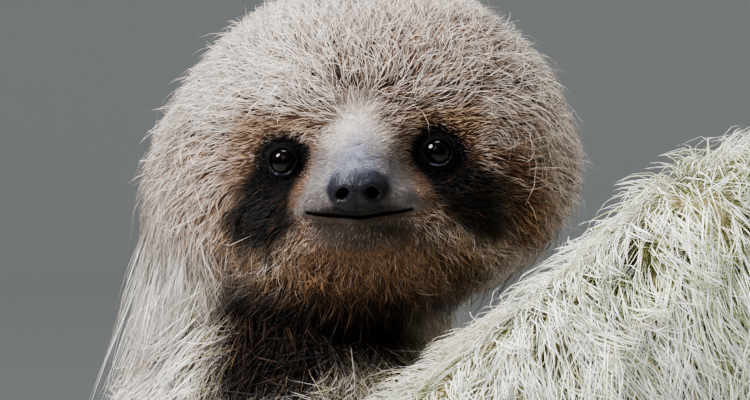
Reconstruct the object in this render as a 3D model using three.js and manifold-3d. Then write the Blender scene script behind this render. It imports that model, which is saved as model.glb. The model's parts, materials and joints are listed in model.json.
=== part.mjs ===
// A three-toed sloth at life size, clinging to a short cut log that stands on a plain display stand.
//
// Millimetres, +Z up. The origin is the centre of the stand base's underside. The log stands to the
// right (+X), the sloth hangs on its left side with its belly towards the log and its back towards -X,
// and its head is turned a quarter turn to its right, so that the face looks along -Y.
//
// The animal is described by masses: egg shapes and tapered round bones that reach out to the tips of
// the coat. They melt together in a smooth field, and every body part is a loft whose points lie on
// that field. Neighbouring parts meet at flat joint planes or are cut by each other, and stay GAP apart.
import * as THREE from "three";
import { mergeVertices } from "three/addons/utils/BufferGeometryUtils.js";
import Module from "manifold-3d";

const wasm = await Module();
wasm.setup();

// ---------------------------------------------------------------- driving dimensions

const GAP = 0.35; // clear space between neighbouring solids
const CAP_ANGLES = [1.05, 0.52]; // radians above a round end's rim at which it has its rings
const V = (x, y, z) => new THREE.Vector3(x, y, z);
const deg = THREE.MathUtils.degToRad;

const STAND = {
  length: 420, // along X
  width: 290, // along Y
  thick: 20,
  corner: 26,
  bevel: 2,
  rodRadius: 7,
  rodSpacing: 36, // between the two rods, along Y
  rodSink: 10, // how far each rod goes into the base
  rodBite: 26, // how far each rod goes into the log
};
const LOG = { x: 150, radius: 40, bottom: 62, top: 700, sway: 8, sides: 18, rings: 7 };

// The head has a frame of its own: its origin is midway between the eyes, x to the animal's left,
// y to the back of the head and z up.
const HEAD = { at: V(-99, -45, 566), roll: 2.3, turn: 3 };
const EYE = { apart: 42.2, deep: 4.2, radius: 5.2 };
const EAR = { back: 27, down: 5, half: V(4.5, 5.5, 8) };

const FRONT = { claws: 3, spacing: 13, clawRoot: 4.8 };
const HIND = { claws: 3, spacing: 12, clawRoot: 4.3 };

// Joints of the right limbs are on the near side (-Y), those of the left limbs on the far side.
const JOINTS = {
  right: {
    shoulder: V(-112, -44, 449),
    elbow: V(2, -62, 524),
    wrist: V(101, -42, 593),
    hand: { z: 606, from: -139, knuckle: -98, end: -72, tip: -6 },
    hip: V(-44, -42, 188),
    knee: V(44, -74, 214),
    ankle: V(105, -43, 162),
    foot: { z: 158, from: -139, knuckle: -102, end: -80, tip: -26 },
  },
  left: {
    shoulder: V(-114, 46, 452),
    elbow: V(-26, 80, 392),
    wrist: V(101, 43, 436),
    hand: { z: 446, from: 139, knuckle: 98, end: 72, tip: 6 },
    hip: V(-44, 42, 188),
    knee: V(38, 76, 238),
    ankle: V(105, 43, 206),
    foot: { z: 204, from: 139, knuckle: 102, end: 80, tip: 26 },
  },
};
const GIRTH = { shoulder: 42, elbow: 34, wrist: 24, hip: 50, knee: 36, ankle: 24 };
const SPINE = {
  nape: { at: V(-117, 16, 533), radius: 42 },
  neck: { at: V(-119, 6, 478), radius: 50 },
  chest: { at: V(-121, 0, 436), radius: 62 },
  ribs: { at: V(-110, 0, 350), radius: 79 },
  belly: { at: V(-86, 0, 262), radius: 82 },
  rump: { at: V(-50, 0, 190), radius: 70 },
};
const TAIL = { root: V(-82, 0, 156), tip: V(-107, 0, 100), radius: 20, end: 13 };

const COLOURS = {
  mane: 0xb9ad98,
  face: 0x8f7f6e,
  arm: 0xc4c3ac,
  back: 0x8b8170,
  nose: 0x3f3c40,
  eye: 0x0b0a0b,
  ear: 0x4a3226,
  claw: 0xb59a6b,
  bark: 0x6b6350,
  base: 0x4a3527,
  steel: 0xa9abad,
};

// ---------------------------------------------------------------- masses and fields

const headToWorld = new THREE.Matrix4()
  .makeTranslation(HEAD.at)
  .multiply(new THREE.Matrix4().makeRotationZ(-deg(HEAD.turn)))
  .multiply(new THREE.Matrix4().makeRotationY(-deg(HEAD.roll)));
const worldToHead = headToWorld.clone().invert();
const onHead = (x, y, z) => V(x, y, z).applyMatrix4(headToWorld);

// Signed distance (nearly) to an egg: an ellipsoid whose lower half may have its own height.
const egg = (centre, half, lower = half.z) => (p) => {
  const d = p.clone().sub(centre);
  const r = V(half.x, half.y, d.z > 0 ? half.z : lower);
  const near = d.clone().divide(r).length();
  const slope = d.clone().divide(r).divide(r).length();
  return slope < 1e-9 ? -Math.min(r.x, r.y, r.z) : (near * (near - 1)) / slope;
};

// Signed distance to a round bone that tapers from one joint to the next.
const bone = (a, b, ra, rb) => {
  const axis = b.clone().sub(a);
  const length2 = axis.lengthSq();
  return (p) => {
    const along = THREE.MathUtils.clamp(p.clone().sub(a).dot(axis) / length2, 0, 1);
    return p.distanceTo(a.clone().addScaledVector(axis, along)) - ra - (rb - ra) * along;
  };
};

const meltTwo = (a, b, soft) => {
  const h = Math.max(soft - Math.abs(a - b), 0) / soft;
  return Math.min(a, b) - (h * h * soft) / 4;
};
const melt = (soft, ...masses) => (p) => masses.map((m) => m(p)).reduce((a, b) => meltTwo(a, b, soft));
const carve = (soft, body, hole) => (p) => -meltTwo(-body(p), hole(p), soft);

const pair = (make) => [make(-1), make(1)];
const MUZZLE = {
  bridge: bone(V(0, 8, 6), V(0, -10, -6), 11, 9),
  nose: egg(V(0, -9.5, -9.5), V(10.5, 11.5, 8.5)),
  lips: pair((side) => egg(V(side * 9, -4, -12.5), V(10.5, 13, 7))),
  chin: egg(V(0, 0, -22.5), V(15.5, 15.5, 7.5)),
};
const skull = egg(V(1, 42, -8), V(60, 49, 58.5), 37);
const mane = egg(V(-14, 48, -15), V(52, 40, 46), 40);
const jowl = egg(V(0, 15, -20), V(27, 20, 15));
const throat = egg(V(-4, 34, -30), V(30, 32, 19));
const sockets = pair((side) => egg(V(side * 22, -8.6, 0.5), V(10.5, 10.5, 9.5)));

const faceField = carve(
  4,
  melt(
    7,
    melt(12, skull, mane, throat),
    jowl,
    melt(3, MUZZLE.bridge, MUZZLE.nose, ...MUZZLE.lips),
    MUZZLE.chin,
  ),
  (p) => Math.min(...sockets.map((s) => s(p))),
);
const headField = (p) => faceField(p.clone().applyMatrix4(worldToHead));

const S = SPINE;
const stretch = (a, b) => bone(a.at, b.at, a.radius, b.radius);
const trunkField = melt(
  26,
  stretch(S.nape, S.neck),
  stretch(S.neck, S.chest),
  stretch(S.chest, S.ribs),
  stretch(S.ribs, S.belly),
  stretch(S.belly, S.rump),
);

const G = GIRTH;
const armField = (j) =>
  melt(14, bone(j.shoulder, j.elbow, G.shoulder, G.elbow), bone(j.elbow, j.wrist, G.elbow, G.wrist));
const legField = (j) =>
  melt(14, bone(j.hip, j.knee, G.hip, G.knee), bone(j.knee, j.ankle, G.knee, G.ankle));

// ---------------------------------------------------------------- lofts on a field

// How far a field reaches from a point inside it, in one direction.
function reach(field, from, direction, far = 140) {
  const at = (d) => field(from.clone().addScaledVector(direction, d));
  let inside = 0;
  let step = 2;
  while (inside + step < far && at(inside + step) < 0) inside += step;
  let outside = inside + step;
  for (let i = 0; i < 14; i++) {
    const middle = (inside + outside) / 2;
    if (at(middle) < 0) inside = middle;
    else outside = middle;
  }
  return (inside + outside) / 2;
}

// A closed mesh from rings of points, with a point at each end.
function closedLoft(first, rings, last) {
  const sides = rings[0].length;
  const points = [first, ...rings.flat(), last];
  const index = [];
  const at = (ring, side) => 1 + ring * sides + (side % sides);
  for (let s = 0; s < sides; s++) {
    index.push(0, at(0, s + 1), at(0, s));
    index.push(points.length - 1, at(rings.length - 1, s), at(rings.length - 1, s + 1));
    for (let r = 0; r + 1 < rings.length; r++) {
      index.push(at(r, s), at(r, s + 1), at(r + 1, s + 1));
      index.push(at(r, s), at(r + 1, s + 1), at(r + 1, s));
    }
  }
  return new THREE.BufferGeometry().setFromPoints(points).setIndex(index);
}

// A station is a ring's centre and the normal of its plane. "up" only fixes where a ring starts.
function ringOf(station, sides, up, radiusAt) {
  const u = up.clone().projectOnPlane(station.normal).normalize();
  const v = station.normal.clone().cross(u);
  return Array.from({ length: sides }, (_, i) => {
    const turn = (i / sides) * 2 * Math.PI;
    const out = u.clone().multiplyScalar(Math.cos(turn)).addScaledVector(v, Math.sin(turn));
    return station.centre.clone().addScaledVector(out, radiusAt(out, turn));
  });
}

// The rings of a round end, from its pole to its rim. Its points lie on the field as well.
function cap(field, station, sign, sides, up, grow) {
  const u = up.clone().projectOnPlane(station.normal).normalize();
  const v = station.normal.clone().cross(u);
  return CAP_ANGLES.map((tilt) =>
    Array.from({ length: sides }, (_, i) => {
      const turn = (i / sides) * 2 * Math.PI;
      const out = u
        .clone()
        .multiplyScalar(Math.cos(turn) * Math.cos(tilt))
        .addScaledVector(v, Math.sin(turn) * Math.cos(tilt))
        .addScaledVector(station.normal, sign * Math.sin(tilt));
      return station.centre.clone().addScaledVector(out, reach(field, station.centre, out) + grow);
    }),
  );
}

// A body part: its rings lie on the field, and a round end closes on the field too.
function tube(field, stations, { sides = 14, up = V(0, 0, 1), grow = 0, round = [false, false] } = {}) {
  const last = stations[stations.length - 1];
  const rings = stations.map((s) => ringOf(s, sides, up, (out) => reach(field, s.centre, out) + grow));
  const pole = (s, sign, isRound) => {
    const out = s.normal.clone().multiplyScalar(sign);
    return s.centre.clone().addScaledVector(out, isRound ? reach(field, s.centre, out) + grow : 0);
  };
  if (round[0]) rings.unshift(...cap(field, stations[0], -1, sides, up, grow));
  if (round[1]) rings.push(...cap(field, last, 1, sides, up, grow).reverse());
  return closedLoft(pole(stations[0], -1, round[0]), rings, pole(last, 1, round[1]));
}

// Stations along a curve through the points, with the end planes given where a joint needs them.
function stationsAlong(points, count, { start, end, trim = [0, 0] } = {}) {
  const curve = new THREE.CatmullRomCurve3(points, false, "centripetal");
  const length = curve.getLength();
  return Array.from({ length: count + 1 }, (_, i) => {
    const wanted = THREE.MathUtils.lerp(trim[0] / length, 1 - trim[1] / length, i / count);
    const share = THREE.MathUtils.clamp(wanted, 0, 1);
    const normal = curve.getTangentAt(share);
    const blend = (target, weight) => target && normal.lerp(target, weight ** 2).normalize();
    blend(start, 1 - i / count);
    blend(end, i / count);
    return { centre: curve.getPointAt(share), normal };
  });
}

const towards = (a, b) => b.clone().sub(a).normalize();
const mitre = (a, b, c) => towards(a, b).add(towards(b, c)).normalize();

// A head-like part: rays from one centre, close together round the pole that faces forwards.
function shell(field, centre, forward, sides, rings) {
  const up = V(0, 0, 1);
  const u = up.clone().projectOnPlane(forward).normalize();
  const v = forward.clone().cross(u);
  const ray = (polar, turn) =>
    forward
      .clone()
      .multiplyScalar(Math.cos(polar))
      .addScaledVector(u, Math.sin(polar) * Math.cos(turn))
      .addScaledVector(v, Math.sin(polar) * Math.sin(turn));
  const point = (polar, turn) => {
    const out = ray(polar, turn);
    return centre.clone().addScaledVector(out, reach(field, centre, out));
  };
  const made = Array.from({ length: rings }, (_, r) => {
    const share = (r + 1) / (rings + 1);
    const polar = Math.PI * (0.38 * share + 0.62 * share ** 2.6);
    return Array.from({ length: sides }, (_, s) => point(polar, -(s / sides) * 2 * Math.PI));
  });
  return closedLoft(point(0, 0), made, point(Math.PI, 0));
}

// ---------------------------------------------------------------- solids

function solid(geometry) {
  const bare = new THREE.BufferGeometry().setAttribute("position", geometry.getAttribute("position"));
  if (geometry.index) bare.setIndex(geometry.index);
  const merged = mergeVertices(bare, 1e-3);
  const made = new wasm.Manifold(
    new wasm.Mesh({
      numProp: 3,
      vertProperties: new Float32Array(merged.attributes.position.array),
      triVerts: new Uint32Array(merged.index.array),
    }),
  );
  return made;
}

const sloth = new THREE.Group();

function add(name, body, colour, roughness = 0.9, metalness = 0) {
  const mesh = body.getMesh();
  const geometry = new THREE.BufferGeometry()
    .setAttribute("position", new THREE.BufferAttribute(mesh.vertProperties, 3))
    .setIndex(new THREE.BufferAttribute(mesh.triVerts, 1));
  geometry.computeVertexNormals();
  const material = new THREE.MeshStandardMaterial({ color: colour, roughness, metalness });
  const made = new THREE.Mesh(geometry, material);
  made.name = name;
  sloth.add(made);
}

// A cut can leave a sliver on the far side of the tool: the part is the largest piece.
const largest = (part) => part.decompose().sort((a, b) => b.volume() - a.volume())[0];

const ball = (centre, half, wide = 14, high = 10) =>
  solid(new THREE.SphereGeometry(1, wide, high).scale(half.x, half.y, half.z).translate(...centre));

// ---------------------------------------------------------------- the log and the stand

const logAxis = (z) => V(LOG.x + LOG.sway * Math.sin((z - LOG.bottom) / 190), 0, z);
const logRadius = (z, turn) =>
  LOG.radius *
  (1.04 - 0.1 * ((z - LOG.bottom) / (LOG.top - LOG.bottom)) + 0.025 * Math.sin(3 * turn + z / 90));

// A point beside the log: an angle round it (0 is +X, -90 the near side) and a distance off its bark.
function beside(z, angle, off) {
  const turn = deg(angle);
  const out = V(Math.cos(turn), Math.sin(turn), 0);
  return logAxis(z).addScaledVector(out, logRadius(z, turn) + off);
}

function makeLog(grow = 0) {
  const stations = Array.from({ length: LOG.rings + 1 }, (_, i) => {
    const z = THREE.MathUtils.lerp(LOG.bottom - grow, LOG.top + grow, i / LOG.rings);
    return { centre: logAxis(z), normal: V(0, 0, 1) };
  });
  const rings = stations.map((s) =>
    ringOf(s, LOG.sides, V(1, 0, 0), (out, turn) => logRadius(s.centre.z, turn) + grow),
  );
  return solid(closedLoft(stations[0].centre, rings, stations[LOG.rings].centre));
}

const rodPlaces = [-1, 1].map((side) => V(logAxis(LOG.bottom).x, (side * STAND.rodSpacing) / 2, 0));
const rodBottom = STAND.thick - STAND.rodSink;
const rodTop = LOG.bottom + STAND.rodBite;
const rod = (place, radius, from, to) =>
  solid(
    new THREE.CylinderGeometry(radius, radius, to - from, 16)
      .rotateX(Math.PI / 2)
      .translate(place.x, place.y, (from + to) / 2),
  );

function makeBase() {
  const x = STAND.length / 2 - STAND.bevel;
  const y = STAND.width / 2 - STAND.bevel;
  const r = STAND.corner - STAND.bevel;
  const outline = new THREE.Shape()
    .absarc(x - r, y - r, r, 0, Math.PI / 2)
    .absarc(r - x, y - r, r, Math.PI / 2, Math.PI)
    .absarc(r - x, r - y, r, Math.PI, 1.5 * Math.PI)
    .absarc(x - r, r - y, r, 1.5 * Math.PI, 2 * Math.PI);
  const slab = new THREE.ExtrudeGeometry(outline, {
    depth: STAND.thick - 2 * STAND.bevel,
    bevelThickness: STAND.bevel,
    bevelSize: STAND.bevel,
    bevelSegments: 1,
    curveSegments: 3,
  });
  return solid(slab.translate(0, 0, STAND.bevel));
}

const bark = makeLog();
const barkRoom = makeLog(GAP);
const rodRoom = rodPlaces.map((p) => rod(p, STAND.rodRadius + GAP, rodBottom - GAP, rodTop + GAP));
add("perch_log", rodRoom.reduce((log, room) => log.subtract(room), bark), COLOURS.bark);
add("stand_base", rodRoom.reduce((base, room) => base.subtract(room), makeBase()), COLOURS.base, 0.5);
rodPlaces.forEach((place, i) =>
  add(`stand_rod_${i + 1}`, rod(place, STAND.rodRadius, rodBottom, rodTop), COLOURS.steel, 0.3, 1),
);

// ---------------------------------------------------------------- neck and torso

const trunkPoints = [S.rump.at, S.belly.at, S.ribs.at, S.chest.at, S.neck.at, S.nape.at];
const neckPlane = towards(S.neck.at, S.nape.at);

function makeTorso(grow = 0) {
  const path = trunkPoints.slice(0, 5);
  const stations = stationsAlong(path, 12, { end: neckPlane, trim: [0, GAP / 2] });
  stations[12].centre.addScaledVector(neckPlane, grow);
  return solid(tube(trunkField, stations, { sides: 16, up: V(1, 0, 0), grow, round: [true, false] }));
}

function makeNeck(grow = 0) {
  const path = [S.neck.at, S.nape.at];
  const stations = stationsAlong(path, 4, { start: neckPlane, trim: [GAP / 2, 0] });
  stations[0].centre.addScaledVector(neckPlane, -grow);
  return solid(tube(trunkField, stations, { sides: 16, up: V(1, 0, 0), grow, round: [false, true] }));
}

const torsoRoom = makeTorso(GAP);
add("torso", makeTorso(), COLOURS.back);

// ---------------------------------------------------------------- head

const HEAD_MESH = [28, 22]; // sides and rings
const face = V(0, -1, 0).transformDirection(headToWorld);
const headCentre = onHead(0, 34, -8);
const headWhole = solid(shell(headField, headCentre, face, ...HEAD_MESH));
const headGrown = solid(shell((p) => headField(p) - GAP, headCentre, face, ...HEAD_MESH));

const eyeAt = (side) => onHead((side * EYE.apart) / 2, EYE.deep, 0);
const eyeball = (side, grow = 0) => {
  const r = EYE.radius + grow;
  return ball(eyeAt(side), V(r, r, r), 11, 7);
};

// The bare nose pad is the front of the muzzle, with two nostrils.
const noseBall = (grow = 0) => ball(onHead(0, -14.5, -9.2), V(9 + grow, 9 + grow, 7.2 + grow), 14, 8);
const nostril = (side) => ball(onHead(side * 4, -20.6, -10.3), V(1.7, 3.6, 1.4), 6, 4);

// The closed mouth is a groove that follows the lips and turns up at its corners.
function mouthGroove() {
  const lip = (x) => {
    const inHead = V(x, 0, -17.4 + 0.0075 * x * x);
    const out = V(0, -1, 0);
    const deepest = reach(faceField, inHead.clone().setY(12), out) - 12;
    return onHead(x, -deepest + 0.1, inHead.z);
  };
  const points = Array.from({ length: 9 }, (_, i) => lip(-15 + (30 * i) / 8));
  const section = new THREE.Shape().absarc(0, 0, 0.7, 0, 2 * Math.PI);
  const path = new THREE.CatmullRomCurve3(points);
  return solid(
    new THREE.ExtrudeGeometry(section, { steps: 12, extrudePath: path, curveSegments: 3, bevelEnabled: false }),
  );
}

// A small round ear, low on the side of the head, cupped and nearly lost in the coat.
const earAt = (side) => {
  const from = V(0, EAR.back, -EAR.down);
  return V(side * (reach(faceField, from, V(side, 0, 0)) - EAR.half.x * 0.55), EAR.back, -EAR.down);
};
const earPiece = (side, grow = 0) =>
  ball(
    earAt(side).applyMatrix4(headToWorld),
    EAR.half.clone().addScalar(grow),
    8,
    6,
  );
const earCup = (side) =>
  ball(
    earAt(side).add(V(side * 5, -1, 0)).applyMatrix4(headToWorld),
    V(4.2, 3.4, 5.4),
    6,
    5,
  );

const headCuts = [mouthGroove(), noseBall(GAP), eyeball(-1, GAP), eyeball(1, GAP), earPiece(-1, GAP), earPiece(1, GAP)];
add("head", headCuts.reduce((head, cut) => head.subtract(cut), headWhole), COLOURS.face);
const nose = headWhole.intersect(noseBall()).subtract(nostril(-1)).subtract(nostril(1));
add("nose", nose.subtract(mouthGroove()), COLOURS.nose, 0.5);
for (const [name, side] of [["right", -1], ["left", 1]]) {
  add(`eye_${name}`, eyeball(side), COLOURS.eye, 0.05);
  add(`ear_${name}`, earPiece(side).subtract(earCup(side)), COLOURS.ear);
}

const headRoom = headGrown.add(earPiece(-1, GAP)).add(earPiece(1, GAP));
const neckWhole = makeNeck();
const neckRoom = makeNeck(GAP);
add("neck", largest(neckWhole.subtract(headRoom)), COLOURS.mane);

// ---------------------------------------------------------------- limbs

// A hand or foot lies along the bark: a palm, then three digits side by side, one above the other.
function paw(grip, wrist, plan, girth) {
  const palm = beside(grip.z, (grip.from + grip.knuckle) / 2, girth * 0.55);
  const digits = Array.from({ length: plan.claws }, (_, i) => {
    const z = grip.z + (i - (plan.claws - 1) / 2) * plan.spacing;
    return {
      z,
      knuckle: beside(z, grip.knuckle, 8),
      end: beside(z, grip.end, 6.5),
    };
  });
  const field = melt(
    7,
    bone(wrist, palm, girth, girth * 0.66),
    ...digits.map((d) => bone(palm, d.knuckle, girth * 0.62, 8.6)),
    ...digits.map((d) => bone(d.knuckle, d.end, 8.6, 7)),
  );
  const middle = beside(grip.z, grip.end + Math.sign(grip.from) * 3, 6.5);
  return { palm, digits, field, path: [wrist, palm, beside(grip.z, grip.knuckle, 8.5), middle] };
}

// A claw is a tapering hook that follows the bark, taller than it is wide.
function claw(digit, grip, plan, grow = 0) {
  const count = 6;
  const inset = Math.sign(grip.from) * 9;
  const rings = Array.from({ length: count + 1 }, (_, i) => {
    const share = i / count;
    const angle = THREE.MathUtils.lerp(grip.end + inset, grip.tip, share);
    const half = THREE.MathUtils.lerp(plan.clawRoot, 0.7, share ** 1.15) + grow;
    const centre = beside(digit.z, angle, half + THREE.MathUtils.lerp(2.2, 0.9, share) - grow);
    const normal = V(-Math.sin(deg(angle)), Math.cos(deg(angle)), 0).multiplyScalar(-Math.sign(grip.from));
    return ringOf({ centre, normal }, 6, V(0, 0, 1), (out) => half * (1 - 0.24 * Math.abs(out.z)));
  });
  const middle = (ring) => ring.reduce((sum, p) => sum.add(p), V(0, 0, 0)).divideScalar(ring.length);
  return solid(closedLoft(middle(rings[0]), rings, middle(rings[count])));
}

function addPaw(name, side, grip, wrist, before, plan, girth) {
  const made = paw(grip, wrist, plan, girth);
  const stations = stationsAlong(made.path, 5, {
    start: mitre(before, wrist, made.palm),
    trim: [GAP / 2, 0],
  });
  const whole = solid(tube(made.field, stations, { sides: 10, round: [false, true] })).subtract(barkRoom);
  const trimmed = made.digits.reduce((hand, d) => hand.subtract(claw(d, grip, plan, GAP)), whole);
  add(`${name}_${side}`, trimmed, COLOURS.arm);
  made.digits.forEach((d, i) => add(`claw_${name}_${side}_${i + 1}`, claw(d, grip, plan), COLOURS.claw, 0.4));
  return made;
}

// Two bones that share the plane of their middle joint. The first one leaves the torso.
function addLimb(names, side, field, joints, handPalm, colour) {
  const [root, middle, end] = joints;
  const bend = mitre(root, middle, end);
  const wristPlane = mitre(middle, end, handPalm);
  const upper = stationsAlong([root, middle], 5, {
    start: towards(root, middle),
    end: bend,
    trim: [0, GAP / 2],
  });
  const lower = stationsAlong([middle, end], 6, {
    start: bend,
    end: wristPlane,
    trim: [GAP / 2, GAP / 2],
  });
  const cut = (part) => part.subtract(torsoRoom).subtract(neckRoom).subtract(headRoom).subtract(barkRoom);
  add(`${names[0]}_${side}`, largest(cut(solid(tube(field, upper, { round: [true, false] })))), colour);
  add(`${names[1]}_${side}`, largest(cut(solid(tube(field, lower, {})))), colour);
}

for (const side of ["right", "left"]) {
  const j = JOINTS[side];
  const hand = addPaw("hand", side, j.hand, j.wrist, j.elbow, FRONT, G.wrist);
  addLimb(["upper_arm", "forearm"], side, armField(j), [j.shoulder, j.elbow, j.wrist], hand.palm, COLOURS.arm);
  const foot = addPaw("foot", side, j.foot, j.ankle, j.knee, HIND, G.ankle);
  addLimb(["thigh", "shin"], side, legField(j), [j.hip, j.knee, j.ankle], foot.palm, COLOURS.back);
}

// ---------------------------------------------------------------- tail

const tailField = bone(TAIL.root, TAIL.tip, TAIL.radius, TAIL.end);
const tailStations = stationsAlong([TAIL.root, TAIL.tip], 4);
const tail = solid(tube(tailField, tailStations, { sides: 12, up: V(1, 0, 0), round: [false, true] }));
add("tail", tail.subtract(torsoRoom), COLOURS.back);

export default sloth;
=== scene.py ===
import json
import math
import bpy
import numpy as np
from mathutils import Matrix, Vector
from mathutils.kdtree import KDTree

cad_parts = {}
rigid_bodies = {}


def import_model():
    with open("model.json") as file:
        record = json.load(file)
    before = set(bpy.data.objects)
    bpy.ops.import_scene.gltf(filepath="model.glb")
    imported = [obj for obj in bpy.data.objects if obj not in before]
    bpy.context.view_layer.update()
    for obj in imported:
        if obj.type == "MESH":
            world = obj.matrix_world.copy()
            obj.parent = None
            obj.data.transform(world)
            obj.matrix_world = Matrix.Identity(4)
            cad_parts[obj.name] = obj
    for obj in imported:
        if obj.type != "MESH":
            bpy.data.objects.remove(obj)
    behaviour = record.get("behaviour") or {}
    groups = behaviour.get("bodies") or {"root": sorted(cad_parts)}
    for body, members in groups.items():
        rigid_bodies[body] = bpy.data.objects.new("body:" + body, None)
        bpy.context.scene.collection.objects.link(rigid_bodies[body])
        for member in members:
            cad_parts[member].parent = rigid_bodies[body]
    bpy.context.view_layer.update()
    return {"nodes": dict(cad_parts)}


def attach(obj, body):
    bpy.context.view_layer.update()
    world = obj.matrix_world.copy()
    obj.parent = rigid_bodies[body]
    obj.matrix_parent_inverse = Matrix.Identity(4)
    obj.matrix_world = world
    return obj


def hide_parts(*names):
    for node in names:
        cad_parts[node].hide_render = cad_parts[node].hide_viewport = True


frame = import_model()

mm = 0.001
context = bpy.context
seed = 41


def deselectAll():
    if context.object and context.object.mode != "OBJECT":
        bpy.ops.object.mode_set(mode="OBJECT")
    bpy.ops.object.select_all(action="DESELECT")


def makeActive(piece):
    deselectAll()
    piece.select_set(True)
    context.view_layer.objects.active = piece


def paint(red, green, blue):
    # a colour as a paint chart gives it, 0 to 255, to the renderer's linear scale
    return np.array([(c / 255) ** 2.2 for c in (red, green, blue)])


# ---- camera, floor and lights

cameraSetup = {
    "aim": (-94.8, -45.0, 553.5),
    "distance": 1500,
    "elevation": 1.5,
    "viewWidth": 750 / 3.6,
    "sensor": 36,
}


def setCamera(c):
    rise = math.radians(c["elevation"])
    aim = Vector(c["aim"]) * mm
    back = Vector((0, -math.cos(rise), math.sin(rise))) * c["distance"] * mm
    data = bpy.data.cameras.new("camera")
    data.sensor_width = c["sensor"]
    data.lens = c["sensor"] * c["distance"] / c["viewWidth"]
    data.clip_start = 0.05
    data.clip_end = 60
    camera = bpy.data.objects.new("camera", data)
    context.collection.objects.link(camera)
    camera.location = aim + back
    camera.rotation_euler = (-back).to_track_quat("-Z", "Y").to_euler()
    context.scene.camera = camera


stageSetup = {
    "radius": 15.0,
    "rim": 3.2,
    "sides": 96,
    "bend": 2.6,
    "colour": (0.74, 0.75, 0.73),
    "look": "AgX - Medium High Contrast",
    "world": (0.84, 0.88, 0.92),
    "worldStrength": 0.27,
    # name, place, aim, size, power, colour
    "lights": [
        ("keyLight", (-1.35, -0.75, 1.75), (-0.10, 0.0, 0.52), 0.8, 104, (0.98, 0.99, 1.0)),
        ("topLight", (-0.1, 0.1, 2.4), (0.0, 0.0, 0.5), 1.1, 50, (1.0, 0.98, 0.95)),
        ("frontFill", (-0.6, -2.4, 1.9), (0.0, 0.0, 0.45), 1.5, 13, (1.0, 0.98, 0.95)),
        ("backLight", (0.9, 1.9, 1.6), (0.0, 0.0, 0.35), 1.5, 34, (1.0, 0.99, 0.97)),
    ],
}


def setStage(s):
    deselectAll()
    bpy.ops.mesh.primitive_circle_add(vertices=s["sides"], radius=s["radius"], fill_type="NGON")
    floor = context.object
    floor.name = "floor"
    bpy.ops.object.mode_set(mode="EDIT")
    bpy.ops.mesh.select_mode(type="EDGE")
    bpy.ops.mesh.select_all(action="SELECT")
    bpy.ops.mesh.region_to_loop()
    bpy.ops.mesh.extrude_region_move(TRANSFORM_OT_translate={"value": (0, 0, s["rim"])})
    bpy.ops.object.mode_set(mode="OBJECT")
    bend = floor.modifiers.new("bend", "BEVEL")
    bend.width = s["bend"]
    bend.segments = 20
    bend.limit_method = "ANGLE"
    bpy.ops.object.modifier_apply(modifier="bend")
    bpy.ops.object.shade_smooth()
    material = newMaterial("paleFloor", s["colour"], 0.9)
    floor.data.materials.append(material)
    world = bpy.data.worlds.new("studio")
    world.use_nodes = True
    world.node_tree.nodes["Background"].inputs["Color"].default_value = (*s["world"], 1)
    world.node_tree.nodes["Background"].inputs["Strength"].default_value = s["worldStrength"]
    context.scene.world = world
    context.scene.view_settings.look = s["look"]
    for name, place, aim, size, power, colour in s["lights"]:
        data = bpy.data.lights.new(name, "AREA")
        data.shape = "DISK"
        data.size = size
        data.energy = power
        data.color = colour
        lamp = bpy.data.objects.new(name, data)
        context.collection.objects.link(lamp)
        lamp.location = place
        lamp.rotation_euler = (Vector(aim) - Vector(place)).to_track_quat("-Z", "Y").to_euler()


# ---- materials

def newMaterial(name, colour, roughness, metallic=0.0, specular=0.5):
    material = bpy.data.materials.new(name)
    material.use_nodes = True
    shader = material.node_tree.nodes["Principled BSDF"]
    shader.inputs["Base Color"].default_value = (*colour, 1)
    shader.inputs["Roughness"].default_value = roughness
    shader.inputs["Metallic"].default_value = metallic
    shader.inputs["Specular IOR Level"].default_value = specular
    return material


def addNode(material, kind, **values):
    node = material.node_tree.nodes.new(kind)
    for key, value in values.items():
        if key in node.inputs:
            node.inputs[key].default_value = value
        else:
            setattr(node, key, value)
    return node


def join(material, fromNode, fromSocket, toNode, toSocket):
    material.node_tree.links.new(fromNode.outputs[fromSocket], toNode.inputs[toSocket])


def shaderOf(material):
    return material.node_tree.nodes["Principled BSDF"]


def objectNoise(material, scale, detail=4, stretch=(1, 1, 1)):
    where = addNode(material, "ShaderNodeTexCoord")
    placed = addNode(material, "ShaderNodeMapping")
    placed.inputs["Scale"].default_value = stretch
    noise = addNode(material, "ShaderNodeTexNoise", Scale=scale, Detail=detail)
    join(material, where, "Object", placed, "Vector")
    join(material, placed, "Vector", noise, "Vector")
    return noise


def addBump(material, height, heightSocket, strength, distance):
    bump = addNode(material, "ShaderNodeBump", Strength=strength, Distance=distance)
    join(material, height, heightSocket, bump, "Height")
    join(material, bump, "Normal", shaderOf(material), "Normal")


def ramp(material, source, socket, stops):
    node = addNode(material, "ShaderNodeValToRGB")
    while len(node.color_ramp.elements) < len(stops):
        node.color_ramp.elements.new(0.5)
    for element, (place, colour) in zip(node.color_ramp.elements, stops):
        element.position = place
        element.color = (*colour, 1)
    join(material, source, socket, node, "Fac")
    return node


def tintWith(material, noise, low, high):
    # the painted colour, lighter and darker with a noise
    tint = addNode(material, "ShaderNodeAttribute", attribute_name="tint")
    span = addNode(material, "ShaderNodeMapRange")
    span.inputs["From Min"].default_value = 0.3
    span.inputs["From Max"].default_value = 0.7
    span.inputs["To Min"].default_value = low
    span.inputs["To Max"].default_value = high
    join(material, noise, "Fac", span, "Value")
    scaled = addNode(material, "ShaderNodeVectorMath", operation="SCALE")
    join(material, tint, "Color", scaled, "Vector")
    join(material, span, "Result", scaled, "Scale")
    join(material, scaled, "Vector", shaderOf(material), "Base Color")


def roughenWith(material, source, socket, low, high):
    # the roughness runs from low to high with a pattern
    span = addNode(material, "ShaderNodeMapRange")
    span.inputs["To Min"].default_value = low
    span.inputs["To Max"].default_value = high
    join(material, source, socket, span, "Value")
    join(material, span, "Result", shaderOf(material), "Roughness")


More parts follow.
